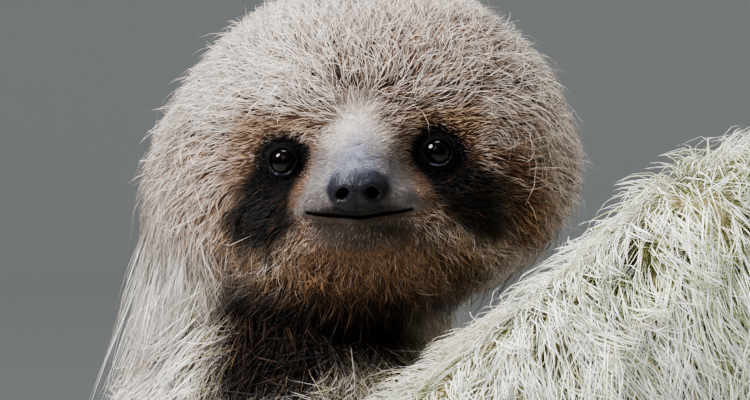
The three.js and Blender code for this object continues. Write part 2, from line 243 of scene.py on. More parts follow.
def makeHairMaterial():
    material = newMaterial("hair", (0.5, 0.4, 0.3), 0.52, specular=0.26)
    tintWith(material, objectNoise(material, 160, 2), 0.86, 1.16)
    return material


def makeSkinMaterial():
    material = newMaterial("skin", (0.2, 0.15, 0.1), 0.85, specular=0.15)
    tintWith(material, objectNoise(material, 420, 3), 0.72, 1.3)
    bare = addNode(material, "ShaderNodeAttribute", attribute_name="bare")
    # bare nose skin is smoother and moist
    roughenWith(material, bare, "Fac", 0.88, 0.42)
    pebbles = addNode(material, "ShaderNodeTexVoronoi", Scale=1500, feature="SMOOTH_F1")
    where = addNode(material, "ShaderNodeTexCoord")
    join(material, where, "Object", pebbles, "Vector")
    fine = objectNoise(material, 2300, 2)
    mixed = addNode(material, "ShaderNodeMix", data_type="FLOAT")
    join(material, bare, "Fac", mixed, 0)
    join(material, fine, "Fac", mixed, 2)
    join(material, pebbles, "Distance", mixed, 3)
    addBump(material, mixed, 0, 0.55, 0.00035)
    return material


def makeEyeMaterial():
    material = newMaterial("wetEye", (0.004, 0.0032, 0.003), 0.06, specular=0.17)
    tintWith(material, objectNoise(material, 900, 3), 0.7, 1.4)
    return material


def makeClawMaterial():
    material = newMaterial("claw", (0.4, 0.3, 0.17), 0.38, specular=0.45)
    grain = objectNoise(material, 300, 4, (1, 1, 5))
    tintWith(material, grain, 0.75, 1.2)
    addBump(material, grain, "Fac", 0.25, 0.0003)
    return material


def makeBarkMaterial():
    material = newMaterial("bark", (0.16, 0.13, 0.09), 0.92, specular=0.25)
    tintWith(material, objectNoise(material, 120, 8, (1, 1, 0.4)), 0.62, 1.4)
    fine = objectNoise(material, 900, 6, (1, 1, 0.5))
    addBump(material, fine, "Fac", 0.7, 0.0012)
    return material


def makeBaseMaterial():
    material = newMaterial("stainedWood", (0.09, 0.05, 0.03), 0.42)
    grain = objectNoise(material, 26, 7, (0.35, 6, 1))
    fine = objectNoise(material, 210, 4, (0.12, 6, 1))
    tones = ramp(material, grain, "Fac", [
        (0.30, (0.030, 0.014, 0.007)),
        (0.48, (0.075, 0.037, 0.018)),
        (0.62, (0.13, 0.068, 0.033)),
        (0.75, (0.055, 0.027, 0.013)),
    ])
    join(material, tones, "Color", shaderOf(material), "Base Color")
    roughenWith(material, fine, "Fac", 0.34, 0.55)
    addBump(material, fine, "Fac", 0.2, 0.0005)
    return material


def makeSteelMaterial():
    material = newMaterial("satinSteel", (0.52, 0.52, 0.51), 0.3, metallic=1.0)
    turning = objectNoise(material, 500, 3, (0.05, 0.05, 8))
    tones = ramp(material, turning, "Fac", [(0.3, (0.42, 0.42, 0.41)), (0.7, (0.58, 0.58, 0.57))])
    join(material, tones, "Color", shaderOf(material), "Base Color")
    roughenWith(material, turning, "Fac", 0.22, 0.42)
    return material


# ---- the animal's form: masses that melt together, in millimetres
# Every function takes an array of points and gives the distance outside the coat's tips.

def vec(x, y, z):
    return np.array([x, y, z], float)


def smoothStep(low, high, x):
    t = np.clip((x - low) / (high - low), 0, 1)
    return t * t * (3 - 2 * t)


def blend(a, b, weight):
    return a + (b - a) * weight


def egg(p, centre, half, lower=None):
    d = p - centre
    r = np.tile(half, (len(p), 1))
    if lower is not None:
        r[:, 2] = np.where(d[:, 2] > 0, half[2], lower)
    near = np.linalg.norm(d / r, axis=1)
    slope = np.maximum(np.linalg.norm(d / r / r, axis=1), 1e-6)
    return near * (near - 1) / slope


def bone(p, a, b, ra, rb):
    axis = b - a
    along = np.clip((p - a) @ axis / (axis @ axis), 0, 1)
    return np.linalg.norm(p - a - along[:, None] * axis, axis=1) - ra - (rb - ra) * along


def meltTwo(a, b, soft):
    h = np.maximum(soft - np.abs(a - b), 0) / soft
    return np.minimum(a, b) - h * h * soft / 4


def melt(soft, *masses):
    total = masses[0]
    for mass in masses[1:]:
        total = meltTwo(total, mass, soft)
    return total


def carve(soft, body, hole):
    return -meltTwo(-body, hole, soft)


head = {
    "at": vec(-99, -45, 566),
    "roll": 2.3,
    "turn": 3,
    "eyesApart": 42.2,
    "eyeDeep": 4.2,
    "eyeDrop": {-1: 1.0, 1: 0.1},
    "earBack": 27,
    "earDown": 5,
}


def headTurn():
    roll, turn = -math.radians(head["roll"]), -math.radians(head["turn"])
    rollBy = np.array([[math.cos(roll), 0, math.sin(roll)], [0, 1, 0], [-math.sin(roll), 0, math.cos(roll)]])
    turnBy = np.array([[math.cos(turn), -math.sin(turn), 0], [math.sin(turn), math.cos(turn), 0], [0, 0, 1]])
    return turnBy @ rollBy


headAxes = headTurn()


def toHead(p):
    return (p - head["at"]) @ headAxes


def fromHead(p):
    return p @ headAxes.T + head["at"]


def muzzleMass(p):
    lips = [egg(p, vec(side * 9, -4, -12.5), vec(10.5, 13, 7)) for side in (-1, 1)]
    return melt(
        3,
        bone(p, vec(0, 8, 6), vec(0, -10, -6), 11, 9),
        egg(p, vec(0, -9.5, -9.5), vec(10.5, 11.5, 8.5)),
        egg(p, vec(0, -6.5, -13.0), vec(10.5, 12.6, 6.4)),
        *lips,
    )


def headMass(world):
    p = toHead(world)
    skull = egg(p, vec(1, 42, -8), vec(60, 49, 58.5), 37)
    mane = egg(p, vec(-14, 48, -15), vec(52, 40, 46), 40)
    throat = egg(p, vec(-4, 34, -30), vec(30, 32, 19))
    jowl = egg(p, vec(0, 15, -20), vec(27, 20, 15))
    chin = egg(p, vec(0, 0, -22.5), vec(15.5, 15.5, 7.5))
    sockets = [egg(p, vec(side * 22, -8.6, 0.5), vec(10.5, 10.5, 9.5)) for side in (-1, 1)]
    whole = melt(7, melt(12, skull, mane, throat), jowl, muzzleMass(p), chin)
    return carve(4, whole, np.minimum(*sockets))


spine = [
    (vec(-117, 16, 533), 42),
    (vec(-119, 6, 478), 50),
    (vec(-121, 0, 436), 62),
    (vec(-110, 0, 350), 79),
    (vec(-86, 0, 262), 82),
    (vec(-50, 0, 190), 70),
]
girth = {"shoulder": 38, "elbow": 34, "wrist": 24, "hip": 50, "knee": 36, "ankle": 24}
joints = {
    "right": {
        "shoulder": vec(-112, -44, 440),
        "elbow": vec(2, -62, 533),
        "wrist": vec(101, -42, 593),
        "hand": {"z": 606, "from": -139, "knuckle": -98, "end": -72, "tip": -6},
        "hip": vec(-44, -42, 188),
        "knee": vec(44, -74, 214),
        "ankle": vec(105, -43, 162),
        "foot": {"z": 158, "from": -139, "knuckle": -102, "end": -80, "tip": -26},
    },
    "left": {
        "shoulder": vec(-114, 46, 452),
        "elbow": vec(-26, 80, 392),
        "wrist": vec(101, 43, 436),
        "hand": {"z": 446, "from": 139, "knuckle": 98, "end": 72, "tip": 6},
        "hip": vec(-44, 42, 188),
        "knee": vec(38, 76, 238),
        "ankle": vec(105, 43, 206),
        "foot": {"z": 204, "from": 139, "knuckle": 102, "end": 80, "tip": 26},
    },
}
tail = {"root": vec(-82, 0, 156), "tip": vec(-107, 0, 100), "radius": 20, "end": 13}
paws = {
    "hand": {"claws": 3, "spacing": 13, "clawRoot": 4.8, "girth": girth["wrist"]},
    "foot": {"claws": 3, "spacing": 12, "clawRoot": 4.3, "girth": girth["ankle"]},
}
log = {"x": 150, "radius": 40, "bottom": 62, "top": 700, "sway": 8}


def logAxis(z):
    return vec(log["x"] + log["sway"] * math.sin((z - log["bottom"]) / 190), 0, z)


def logRadius(z, turn):
    taper = 1.04 - 0.1 * ((z - log["bottom"]) / (log["top"] - log["bottom"]))
    return log["radius"] * (taper + 0.025 * math.sin(3 * turn + z / 90))


def beside(z, angle, off):
    # a point next to the log: an angle round it and a distance off its bark
    turn = math.radians(angle)
    return logAxis(z) + vec(math.cos(turn), math.sin(turn), 0) * (logRadius(z, turn) + off)


def pawPlan(side, kind):
    grip, paw = joints[side][kind], paws[kind]
    wrist = joints[side]["wrist" if kind == "hand" else "ankle"]
    digits = []
    for i in range(paw["claws"]):
        z = grip["z"] + (i - (paw["claws"] - 1) / 2) * paw["spacing"]
        digits.append((z, beside(z, grip["knuckle"], 8), beside(z, grip["end"], 6.5)))
    palm = beside(grip["z"], (grip["from"] + grip["knuckle"]) / 2, paw["girth"] * 0.55)
    return wrist, palm, digits


pawPlans = {(side, kind): pawPlan(side, kind) for side in joints for kind in paws}


def pawMass(p, side, kind):
    wrist, palm, digits = pawPlans[side, kind]
    width = paws[kind]["girth"]
    parts = [bone(p, wrist, palm, width, width * 0.66)]
    for _, knuckle, end in digits:
        parts.append(bone(p, palm, knuckle, width * 0.62, 8.6))
        parts.append(bone(p, knuckle, end, 8.6, 7))
    return melt(7, *parts)


def limbMass(p, side, names):
    a, b, c = (joints[side][n] for n in names)
    ra, rb, rc = (girth[n] for n in names)
    return melt(14, bone(p, a, b, ra, rb), bone(p, b, c, rb, rc))


armNames, legNames = ("shoulder", "elbow", "wrist"), ("hip", "knee", "ankle")
farOff = 60.0


def onlyNear(p, field, corners, margin=110):
    # works a field out only where it can matter, which saves most of the time
    low, high = np.min(corners, axis=0) - margin, np.max(corners, axis=0) + margin
    inside = ((p > low) & (p < high)).all(axis=1)
    found = np.full(len(p), farOff)
    if inside.any():
        found[inside] = np.minimum(field(p[inside]), farOff)
    return found


def trunkMass(p):
    return melt(26, *[bone(p, a, b, ra, rb) for (a, ra), (b, rb) in zip(spine, spine[1:])])


def bodyParts(p):
    # the distance to each part of the body on its own
    found = {"head": headMass(p), "trunk": trunkMass(p)}
    found["tail"] = bone(p, tail["root"], tail["tip"], tail["radius"], tail["end"])
    for side in joints:
        for part, names, kind in (("arm_", armNames, "hand"), ("leg_", legNames, "foot")):
            corners = [joints[side][n] for n in names] + [pawPlans[side, kind][1]]
            limb = onlyNear(p, lambda q: limbMass(q, side, names), corners)
            paw = onlyNear(p, lambda q: pawMass(q, side, kind), corners[2:], 80)
            found[part + side] = meltTwo(limb, paw, 8)
    return found


def coatSurface(p, found=None):
    found = found or bodyParts(p)
    limbs = [found[k] for k in found if k not in ("head", "trunk")]
    return melt(9, meltTwo(found["head"], found["trunk"], 6), *limbs)


def gradient(field, p, reach=0.4):
    # the direction in which a field grows fastest, from four samples round each point
    corners = np.array([[1, -1, -1], [-1, -1, 1], [-1, 1, -1], [1, 1, 1]], float)
    total = sum(c * field(p + c * reach)[:, None] for c in corners)
    return total / np.maximum(np.linalg.norm(total, axis=1, keepdims=True), 1e-9)


def ripple(p, size, number):
    # a smooth random field from -1 to 1, built from a few waves
    random = np.random.default_rng(seed * 1000 + number)
    total = np.zeros(len(p))
    for i in range(7):
        wave = random.normal(size=3)
        wave *= (0.7 + 0.9 * random.random()) / np.linalg.norm(wave)
        total += np.sin(p @ wave * (2 * math.pi / size) + random.random() * 6.3)
    return np.clip(total / 3.2, -1, 1)


# ---- how deep the coat is over the skin

coatDepth = {
    "muzzle": 0.9,
    "eyes": 1.6,
    "forehead": 6.0,
    "back": 12.0,
    "neck": 14.0,
    "trunk": 15.0,
    "limb": 11.0,
    "paw": 3.6,
    "tail": 9.0,
}


def nearPaw(p):
    gaps = []
    for _, palm, digits in pawPlans.values():
        middle = sum(digit[-1] for digit in digits) / len(digits)
        gaps.append(bone(p, palm, middle, 0, 0))
    return np.min(gaps, axis=0)


def eyeCentre(side):
    return vec(side * head["eyesApart"] / 2, head["eyeDeep"], -head["eyeDrop"][side])


def headDepth(h):
    c = coatDepth
    depth = blend(c["forehead"] + 0 * h[:, 0], c["back"], smoothStep(22, 75, h[:, 1]))
    cheek = smoothStep(30, 52, np.abs(h[:, 0])) * smoothStep(25, 0, h[:, 2]) * 2.5
    depth = depth + cheek
    fromMuzzle = np.linalg.norm((h - vec(0, -6, -11)) / vec(1.15, 1, 0.95), axis=1)
    depth = blend(c["muzzle"] + 0 * depth, depth, smoothStep(17, 40, fromMuzzle))
    for side in (-1, 1):
        fromEye = np.linalg.norm((h - eyeCentre(side)) * vec(1, 0.6, 1), axis=1)
        depth = blend(np.minimum(depth, c["eyes"]), depth, smoothStep(6, 19, fromEye))
    return depth


def depthAt(p, found=None):
    found = found or bodyParts(p)
    c = coatDepth
    limb = np.min([found[k] for k in found if k[:3] in ("arm", "leg")], axis=0)
    trunk = found["trunk"]
    neck = smoothStep(440, 500, p[:, 2])
    body = blend(c["trunk"] + 0 * trunk, c["neck"], neck)
    body = blend(body, c["limb"] + 0 * body, smoothStep(-12, 12, trunk - limb))
    body = blend(body, c["tail"] + 0 * body, smoothStep(-6, 6, np.minimum(trunk, limb) - found["tail"]))
    body = blend(c["paw"] + 0 * body, body, smoothStep(16, 52, nearPaw(p)))
    own = headDepth(toHead(p))
    return blend(body, own, smoothStep(-9, 9, np.minimum(trunk, limb) - found["head"]))


# ---- features of the face under the short hair

face = {
    "lidRadius": 5.85,
    "openingWide": 3.6,
    "openingInner": 4.3,
    "openingHigh": 3.75,
    "openingTilt": 8,
    "openingTurn": 9,
    "openingDeep": 3.4,
    "nosePad": (vec(0, -14.5, -8.9), vec(9.3, 9.0, 7.1)),
    "nostril": vec(4.1, -20.4, -10.2),
    "nostrilHalf": vec(1.75, 4.2, 1.55),
    "nostrilDeep": 3.8,
    "mouthHalf": 14.4,
    "mouthLow": -16.6,
    "mouthCurl": 0.0075,
    "mouthDeep": 1.9,
}


def noseZone(h):
    # 1 on the bare nose pad, 0 off it
    centre, half = face["nosePad"]
    rim = np.linalg.norm((h - centre)[:, [0, 2]] / half[[0, 2]], axis=1)
    pad = 1 - smoothStep(0.84, 1.04, rim + 0.03 * ripple(h, 5, 3))
    return pad * (1 - smoothStep(-12.5, -9.5, h[:, 1]))


def nostrilRim(h, side):
    away = (h - face["nostril"] * vec(side, 1, 1)) / face["nostrilHalf"]
    # the hole runs a little outwards and down, like a comma
    away[:, 2] += 0.25 * side * away[:, 0]
    return np.hypot(away[:, 0], away[:, 2])


def openingGap(h, side):
    # distance from the edge of one eye's opening, less than 0 inside it
    tilt = math.radians(face["openingTilt"] * -side)
    turn = math.radians(face["openingTurn"] * side)
    d = h - eyeCentre(side)
    x = d[:, 0] * math.cos(turn) + d[:, 1] * math.sin(turn)
    y = -d[:, 0] * math.sin(turn) + d[:, 1] * math.cos(turn)
    across = x * math.cos(tilt) + d[:, 2] * math.sin(tilt)
    up = -x * math.sin(tilt) + d[:, 2] * math.cos(tilt)
    inward = np.maximum(-side * across, 0)
    wide = np.where(side * across > 0, face["openingWide"], face["openingInner"])
    high = np.where(up > 0, face["openingHigh"], face["openingHigh"] * 0.94)
    high = high * (1 - 0.4 * smoothStep(1.4, face["openingInner"], inward))
    rim = np.sqrt((across / wide) ** 2 + (up / high) ** 2)
    return np.where(y < 0, (rim - 1) * 3.3, 9.0), y


def wetLidAndGlint(h, side):
    # the moist edge of the lower lid, which makes the skin there smoother and carries a pale painted glint
    gap, depth = openingGap(h, side)
    low = 1 - smoothStep(-3.2, -1.6, h[:, 2] + head["eyeDrop"][side] - 0.25 * side * (h[:, 0] - side * 21))
    return 0.30 * np.exp(-(((gap - 0.05) / 0.16) ** 2)) * low * (depth < 0)


def mouthGap(h):
    x = h[:, 0]
    inside = np.clip(x, -face["mouthHalf"], face["mouthHalf"])
    lip = face["mouthLow"] + face["mouthCurl"] * inside ** 2 - 0.14 * np.cos(inside / 2.2)
    return np.hypot(h[:, 2] - lip, x - inside)


def skinSurface(p):
    found = bodyParts(p)
    f = coatSurface(p, found) + depthAt(p, found)
    h = toHead(p)
    nearFace = (np.abs(h[:, 0]) < 40) & (h[:, 1] < 25) & (np.abs(h[:, 2]) < 34)
    if not nearFace.any():
        return f
    q, g = h[nearFace], f[nearFace]
    front = 1 - smoothStep(-8, -3, q[:, 1])
    g = g - 0.5 * noseZone(q)
    for side in (-1, 1):
        ball = np.linalg.norm(q - eyeCentre(side), axis=1)
        g = meltTwo(g, ball - face["lidRadius"], 1.6)
        # a shallow fold above and below the lids
        crease = np.abs(ball - face["lidRadius"] - 2.2)
        g = g + 0.3 * np.exp(-((crease / 0.9) ** 2)) * (1 - smoothStep(2, 6, q[:, 1]))
        gap, _ = openingGap(q, side)
        folds = np.sin(gap * 4.6 + 2.2 * ripple(q, 7, 8)) * smoothStep(0.2, 0.8, gap)
        folds = folds * (1 - smoothStep(2.4, 4.2, gap))
        g = g + 0.13 * folds * (ball < 10)
        wing = np.abs(nostrilRim(q, side) - 1.75)
        g = g - 0.38 * np.exp(-((wing / 0.55) ** 2)) * (1 - smoothStep(-15, -11, q[:, 1]))
    groove = mouthGap(q)
    g = g - front * 0.35 * np.exp(-(((groove - 1.9) / 1.1) ** 2))
    cleft = np.hypot(q[:, 0], np.maximum(np.abs(q[:, 2] + 14.6) - 2.0, 0))
    g = g + front * 0.35 * np.exp(-((cleft / 0.7) ** 2))
    f[nearFace] = g
    return f


def pressOpenings(p):
    # the mouth line, the nostrils and the slits of the eyes are pressed straight into the face
    h = toHead(p)
    front = 1 - smoothStep(-8, -3, h[:, 1])
    taper = 1 - 0.45 * smoothStep(6, face["mouthHalf"], np.abs(h[:, 0]))
    mouth = np.exp(-((mouthGap(h) / 0.38) ** 2)) * front * taper
    back = face["mouthDeep"] * mouth
    up = np.zeros(len(h))
    for side in (-1, 1):
        hole = (1 - smoothStep(0.45, 1.12, nostrilRim(h, side))) * (1 - smoothStep(-15, -12, h[:, 1]))
        back = back + face["nostrilDeep"] * hole
        up = up + 0.9 * hole
        gap, _ = openingGap(h, side)
        nearEye = np.linalg.norm(h - eyeCentre(side), axis=1) < 9
        back = back + face["openingDeep"] * (1 - smoothStep(-1.0, 0.05, gap)) * nearEye
    h[:, 1] += back
    h[:, 2] += up
    return fromHead(h)


def settle(p, field, rounds, most=6.0):
    # points walk along the gradient until they lie on the field's zero
    for i in range(rounds):
        far = field(p)
        p = p - np.clip(far, -most, most)[:, None] * gradient(field, p)
    return p


# ---- markings, shared by skin and coat

colours = {
    "cream": paint(226, 213, 203),
    "pale": paint(198, 185, 176),
    "lilac": paint(172, 163, 166),
    "tan": paint(168, 136, 108),
    "umber": paint(84, 61, 47),
    "black": paint(12, 8, 7),
    "rust": paint(118, 66, 38),
    "ochre": paint(176, 138, 96),
    "orange": paint(150, 110, 80),
    "blueGrey": paint(106, 107, 123),
    "ash": paint(116, 109, 107),
    "chin": paint(62, 54, 48),
    "nose": paint(27, 26, 30),
    # the pad's top, its own grey with a painted sheen
    "noseTopSheen": paint(43, 43, 50),
    "lip": paint(20, 18, 19),
    # a painted glint for the wet lower lid
    "lidGlint": paint(130, 138, 160),
    "white": paint(249, 249, 243),
    "algae": paint(188, 197, 158),
    "moss": paint(104, 116, 56),
    "straw": paint(196, 182, 140),
    "greyBrown": paint(146, 132, 112),
    "dust": paint(186, 175, 154),
}


# markings that lie along a line across the face: the line's two ends as side and height, the radius at
# each, where the edge starts to fade and where it is gone, and how uneven it is
faceLines = {
    "brow": ((15.0, 9.0), (32.0, 8.6), (1.0, 3.4), (-2.0, 5.5), 0.7),
    "inner": ((14.0, -1.5), (18.4, -12.0), (0.2, 0.8), (-0.6, 1.8), 0.5),
    "bridge": ((0.0, 1.5), (0.0, -6.0), (5.0, 8.6), (-3.5, 4.5), 0.6),
    "blaze": ((0.0, 10.0), (0.0, 3.0), (2.0, 5.5), (-2.0, 8.0), 0.8),
    "lips": ((0.0, -12.5), (12.0, -13.0), (6.0, 4.4), (-3.0, 1.5), 0.5),
    "chin": ((0.0, -21.8), (10.0, -20.5), (5.2, 4.0), (-3.0, 3.0), 0.6),
    "jowl": ((0.0, -30.5), (14.0, -31.0), (4.5, 4.0), (-3.0, 5.0), 1.0),
}
# the dark stripe out from each eye: its ends, its radii and how far out it runs
stripes = {
    -1: ((22.0, -3.5), (29.5, -18.5), (6.8, 10.8), 27.0),
    1: ((21.5, -3.0), (36.0, -16.0), (7.0, 11.3), 36.0),
}
stripeEdges = {"stripe": (-4.2, 3.0), "halo": (-1.0, 9.0), "ring": (-1.4, 1.6), "rust": (-3.0, 4.0)}
eyeRing = {"apart": 21.1, "radius": 7.3, "lower": 1.16}
# in the order in which they are laid: how strong each marking is in the coat, the share of the hairs up
# to which each colour goes, how strong it is on the skin, and the skin's colour
faceLayers = {
    "blaze": (0.9, ((0.84, "cream", 1.12), (1, "pale")), 1, ("pale", 0.7)),
    "low": (1, ((0.05, "pale"), (0.38, "ochre", 0.68), (0.82, "umber"), (1, "black")), 0, None),
    "halo": (0.8, ((0.34, "pale"), (0.60, "tan"), (0.82, "ochre"), (1, "umber")), 1, ("umber", 0.7)),
    "jowl": (1, ((0.34, "orange"), (0.52, "tan"), (0.60, "pale", 0.8), (1, "umber")), 1, ("umber", 0.9)),
    "brow": (0.75, ((0.50, "ochre"), (0.85, "tan"), (1, "umber")), 0, None),
    "rust": (1, ((0.26, "rust"), (0.56, "umber"), (0.92, "tan"), (1, "black")), 0, None),
    "stripe": (1, ((0.88, "black"), (0.985, "umber", 0.6), (1, "rust", 0.7)), 1, ("black", 0.7)),
    "snout": (1, ((0.10, "blueGrey"), (0.42, "ash"), (0.92, "pale", 0.86), (1, "tan")), 1, ("ash", 0.5)),
    "bridge": (0.9, ((0.68, "blueGrey"), (1, "pale", 0.95)), 0.9, ("blueGrey", 0.8)),
    "inner": (0.7, ((0.35, "orange"), (0.68, "umber"), (0.85, "tan"), (1, "pale")), 0.6, ("umber", 0.8)),
    "lips": (0.7, ((0.55, "ash"), (0.72, "pale", 0.9), (1, "chin")), 1, ("ash", 0.36)),
    "lipEdge": (1, ((0.7, "chin"), (1, "lip")), 1, ("lip", 1)),
    "chin": (1, ((0.60, "chin", 0.7), (0.88, "umber", 0.75), (1, "pale", 0.5)), 1, ("chin", 0.6)),
    # the throat's dark fur, painted darker as the shade under the chin
    "throat": (1, ((0.5, "umber", 0.7), (0.92, "black"), (1, "tan")), 1, ("black", 1)),
}
hairMixes = {
    "head": ((0.42, "cream"), (0.60, "pale"), (0.70, "lilac"), (0.86, "tan"), (1, "umber")),
    # darker grizzled hair, partly painted shade on the side away from the light
    "grizzleAndShade": ((0.26, "cream"), (0.44, "pale"), (0.56, "lilac"), (0.74, "tan"), (1, "umber")),
    "headSides": ((0.45, "pale"), (0.85, "tan"), (1, "umber")),
    # paler hair, partly its own colour and partly painted light on the lit side
    "paleAndLitSide": ((0.75, "cream", 1.06), (1, "pale")),
    "trunk": ((0.42, "dust"), (0.80, "greyBrown"), (1, "umber")),
    "arm": ((0.82, "white"), (0.95, "algae"), (1, "straw")),
    "mossyArm": ((0.54, "white"), (0.92, "algae"), (1, "moss")),
    "wornArm": ((0.35, "cream"), (0.80, "straw"), (1, "tan")),
    "mane": ((0.50, "white"), (0.86, "cream"), (0.96, "pale"), (1, "tan")),
    "maneEdge": ((0.3, "cream"), (0.6, "pale"), (1, "straw", 0.8)),
    # dark hair as painted shade under the chin
    "maneShade": ((0.80, "black"), (0.99, "umber", 0.45), (1, "tan", 0.5)),
}
# where the painted shadow under the chin lies on the neck: how far across from its middle it fades, its
# paler edge, how far forward it reaches and the heights below which it thins
chest = {"x": -112, "shade": (34.5, 22.5), "edge": (40, 28), "front": (6, -22), "bottom": (499, 510)}


def capsule(u, v, a, b, radii):
    ax, ay = b[0] - a[0], b[1] - a[1]
    t = np.clip(((u - a[0]) * ax + (v - a[1]) * ay) / (ax * ax + ay * ay), 0, 1)
    return np.hypot(u - a[0] - t * ax, v - a[1] - t * ay) - radii[0] - (radii[1] - radii[0]) * t


def faceZones(h):
    # how much of each marking there is at each point, from 0 to 1
    x, y, z = h.T
    side = np.abs(x)
    wobble = 1.5 * ripple(h, 14, 5) + 0.9 * ripple(h, 6, 6)
    front = 1 - smoothStep(28, 46, y)
    left = x > 0

    def zone(gap, edge, within=front):
        return (1 - smoothStep(*edge, gap)) * within

    zones = {}
    for name, (a, b, radii, edge, uneven) in faceLines.items():
        zones[name] = zone(capsule(side, z, a, b, radii) + uneven * wobble, edge)
    gaps = [capsule(side, z, *stripes[k][:3]) for k in (-1, 1)]
    stripe = np.where(left, gaps[1], gaps[0]) + wobble
    flat = np.where(z > 0, eyeRing["lower"], 1.0)
    ring = np.hypot(side - eyeRing["apart"], z * flat) - eyeRing["radius"] + 0.3 * wobble
    fade = 1 - 0.5 * smoothStep(35, 46, x)
    band = zone(stripe, stripeEdges["stripe"]) * fade
    zones["halo"] = zone(stripe, stripeEdges["halo"])
    zones["stripe"] = np.maximum(band, zone(ring, stripeEdges["ring"]))
    end = np.where(left, stripes[1][3], stripes[-1][3])
    rust = capsule(side, z, (end + 9.0, -4.0), (end + 10.0, -24.0), (4.5, 5.5)) + wobble
    zones["rust"] = zone(rust, stripeEdges["rust"], 1 - smoothStep(34, 50, y))
    zones["rust"] = zones["rust"] * (0.55 + 0.45 * smoothStep(-2, 2, x))
    # the snout widens downwards
    snout = side - 11.6 - 0.37 * (3 - z) + 0.7 * wobble
    zones["snout"] = zone(snout, (-2.0, 1.4)) * smoothStep(5, -1, z) * smoothStep(-17, -14.5, z)
    seam = np.hypot(side / 12.0, (z + 15.2) / 2.4) - 1
    zones["lipEdge"] = zone(seam, (-0.4, 0.25))
    zones["low"] = smoothStep(-17, -28, z + 0.1 * side) * (1 - smoothStep(28, 44, side)) * front
    # painted shade: under the chin the throat goes near-black, over its own dark fur
    deep = z + 0.10 * side - 2.5 * smoothStep(-8, -18, x)
    zones["throat"] = smoothStep(-36, -43, deep) * (1 - smoothStep(46, 70, y))
    return zones


def lay(under, zone, colour):
    return blend(under, colour, zone[:, None])


def mix(pick, parts):
    # each hair's own tone: the share of the hairs up to which a colour goes, and how bright it is
    tone = np.zeros((len(pick), 3))
    for share, name, *bright in reversed(parts):
        tone = np.where(pick < share, colours[name] * (bright[0] if bright else 1), tone)
    return tone


def mossiness(p):
    # algae grows most on the outer half of the arm
    return smoothStep(0, 0.8, ripple(p, 30, 31) - 0.35 + 0.9 * smoothStep(-60, -15, p[:, 0]))


def onlyArms(found, low, high):
    # how much of each point is the arms' rather than the trunk's or the legs'
    arms = np.minimum(found["arm_right"], found["arm_left"])
    legs = np.minimum(found["leg_left"], found["leg_right"])
    return smoothStep(low, high, np.minimum(found["trunk"], legs) - arms)


def headShare(found, low, high):
    arms = np.minimum(found["arm_right"], found["arm_left"])
    return smoothStep(low, high, np.minimum(found["trunk"], arms) - found["head"])


def headColour(h, pick):
    # from the crown to the throat
    x, y, z = h.T
    tone = mix(pick, hairMixes["head"])
    # the middle and left of the forehead get darker grizzled hair, partly their own brown strands and partly
    # painted shade on the side away from the light
    grizzleAndShade = smoothStep(-14, 2, x) * smoothStep(48, 38, x) * smoothStep(8, 16, z)
    grizzleAndShade = grizzleAndShade * smoothStep(52, 40, z)
    tone = lay(tone, grizzleAndShade * (0.74 + 0.24 * smoothStep(6, 22, x)), mix(pick, hairMixes["grizzleAndShade"]))
    sides = smoothStep(24, 44, np.abs(x)) * smoothStep(34, 10, y) * smoothStep(22, 6, z)
    tone = lay(tone, sides * 0.6, mix(pick, hairMixes["headSides"]))
    # the right side and the crown's top are paler, partly their own pale hair and partly painted light where
    # the lamp falls
    light = smoothStep(-4, -24, x) * smoothStep(4, 14, z) + 0.9 * smoothStep(34, 46, z)
    tone = lay(tone, np.minimum(light, 1) * 0.65, mix(pick, hairMixes["paleAndLitSide"]))
    zones = faceZones(h)
    # the muzzle's hair is a little darker overall, and its left half darker still as painted shade on the
    # side away from the light
    shadedSide = (0.9 - 0.55 * smoothStep(2, 10, x) * smoothStep(-2, -9, z))[:, None]
    for name, (strength, parts, *_) in faceLayers.items():
        own = mix(pick, parts) * (shadedSide if name in ("snout", "lips") else 1)
        tone = lay(tone, zones[name] * strength, own)
    return tone


def armColour(p, pick):
    arm = lay(mix(pick, hairMixes["arm"]), mossiness(p) * 0.85, mix(pick, hairMixes["mossyArm"]))
    worn = smoothStep(-52, -74, p[:, 0]) * smoothStep(-4, 6, p[:, 2] - 505 - 0.55 * (p[:, 0] + 90))
    return lay(arm, worn * 0.8, mix(pick, hairMixes["wornArm"]))


def maneColour(p, pick):
    # pale at the sides of the neck and dark under the throat: the neck's own dark fur there is painted
    # darker as the shadow under the chin
    off = np.abs(p[:, 0] - chest["x"])
    drop = 9 * smoothStep(-106, -116, p[:, 0])
    shade = smoothStep(*chest["shade"], off) * smoothStep(*chest["front"], p[:, 1])
    shade = shade * (0.25 + 0.75 * smoothStep(*chest["bottom"], p[:, 2] + drop))
    edge = smoothStep(*chest["edge"], off) * 0.8
    mane = lay(mix(pick, hairMixes["mane"]), edge, mix(pick, hairMixes["maneEdge"]))
    return lay(mane, shade, mix(pick, hairMixes["maneShade"]))


def coatColour(p, random):
    found = bodyParts(p)
    pick = random.random(len(p))[:, None]
    # the trunk and legs are mottled grey-brown, with paler patches and a dark line down the back
    body = mix(pick, hairMixes["trunk"])
    body = lay(body, smoothStep(0.1, 0.7, ripple(p, 30, 11)) * 0.8, colours["cream"])
    spineLine = smoothStep(26, 8, np.abs(p[:, 1])) * smoothStep(-60, -120, p[:, 0] + 0.25 * (350 - p[:, 2]))
    body = lay(body, spineLine * 0.7, colours["umber"])
    body = lay(body, onlyArms(found, -6, 18), armColour(p, pick))
    arms = np.minimum(found["arm_right"], found["arm_left"])
    neck = smoothStep(455, 490, p[:, 2]) * smoothStep(14, -6, found["trunk"] - arms)
    body = lay(body, neck, maneColour(p, pick))
    return lay(body, headShare(found, -6, 8), headColour(toHead(p), pick))


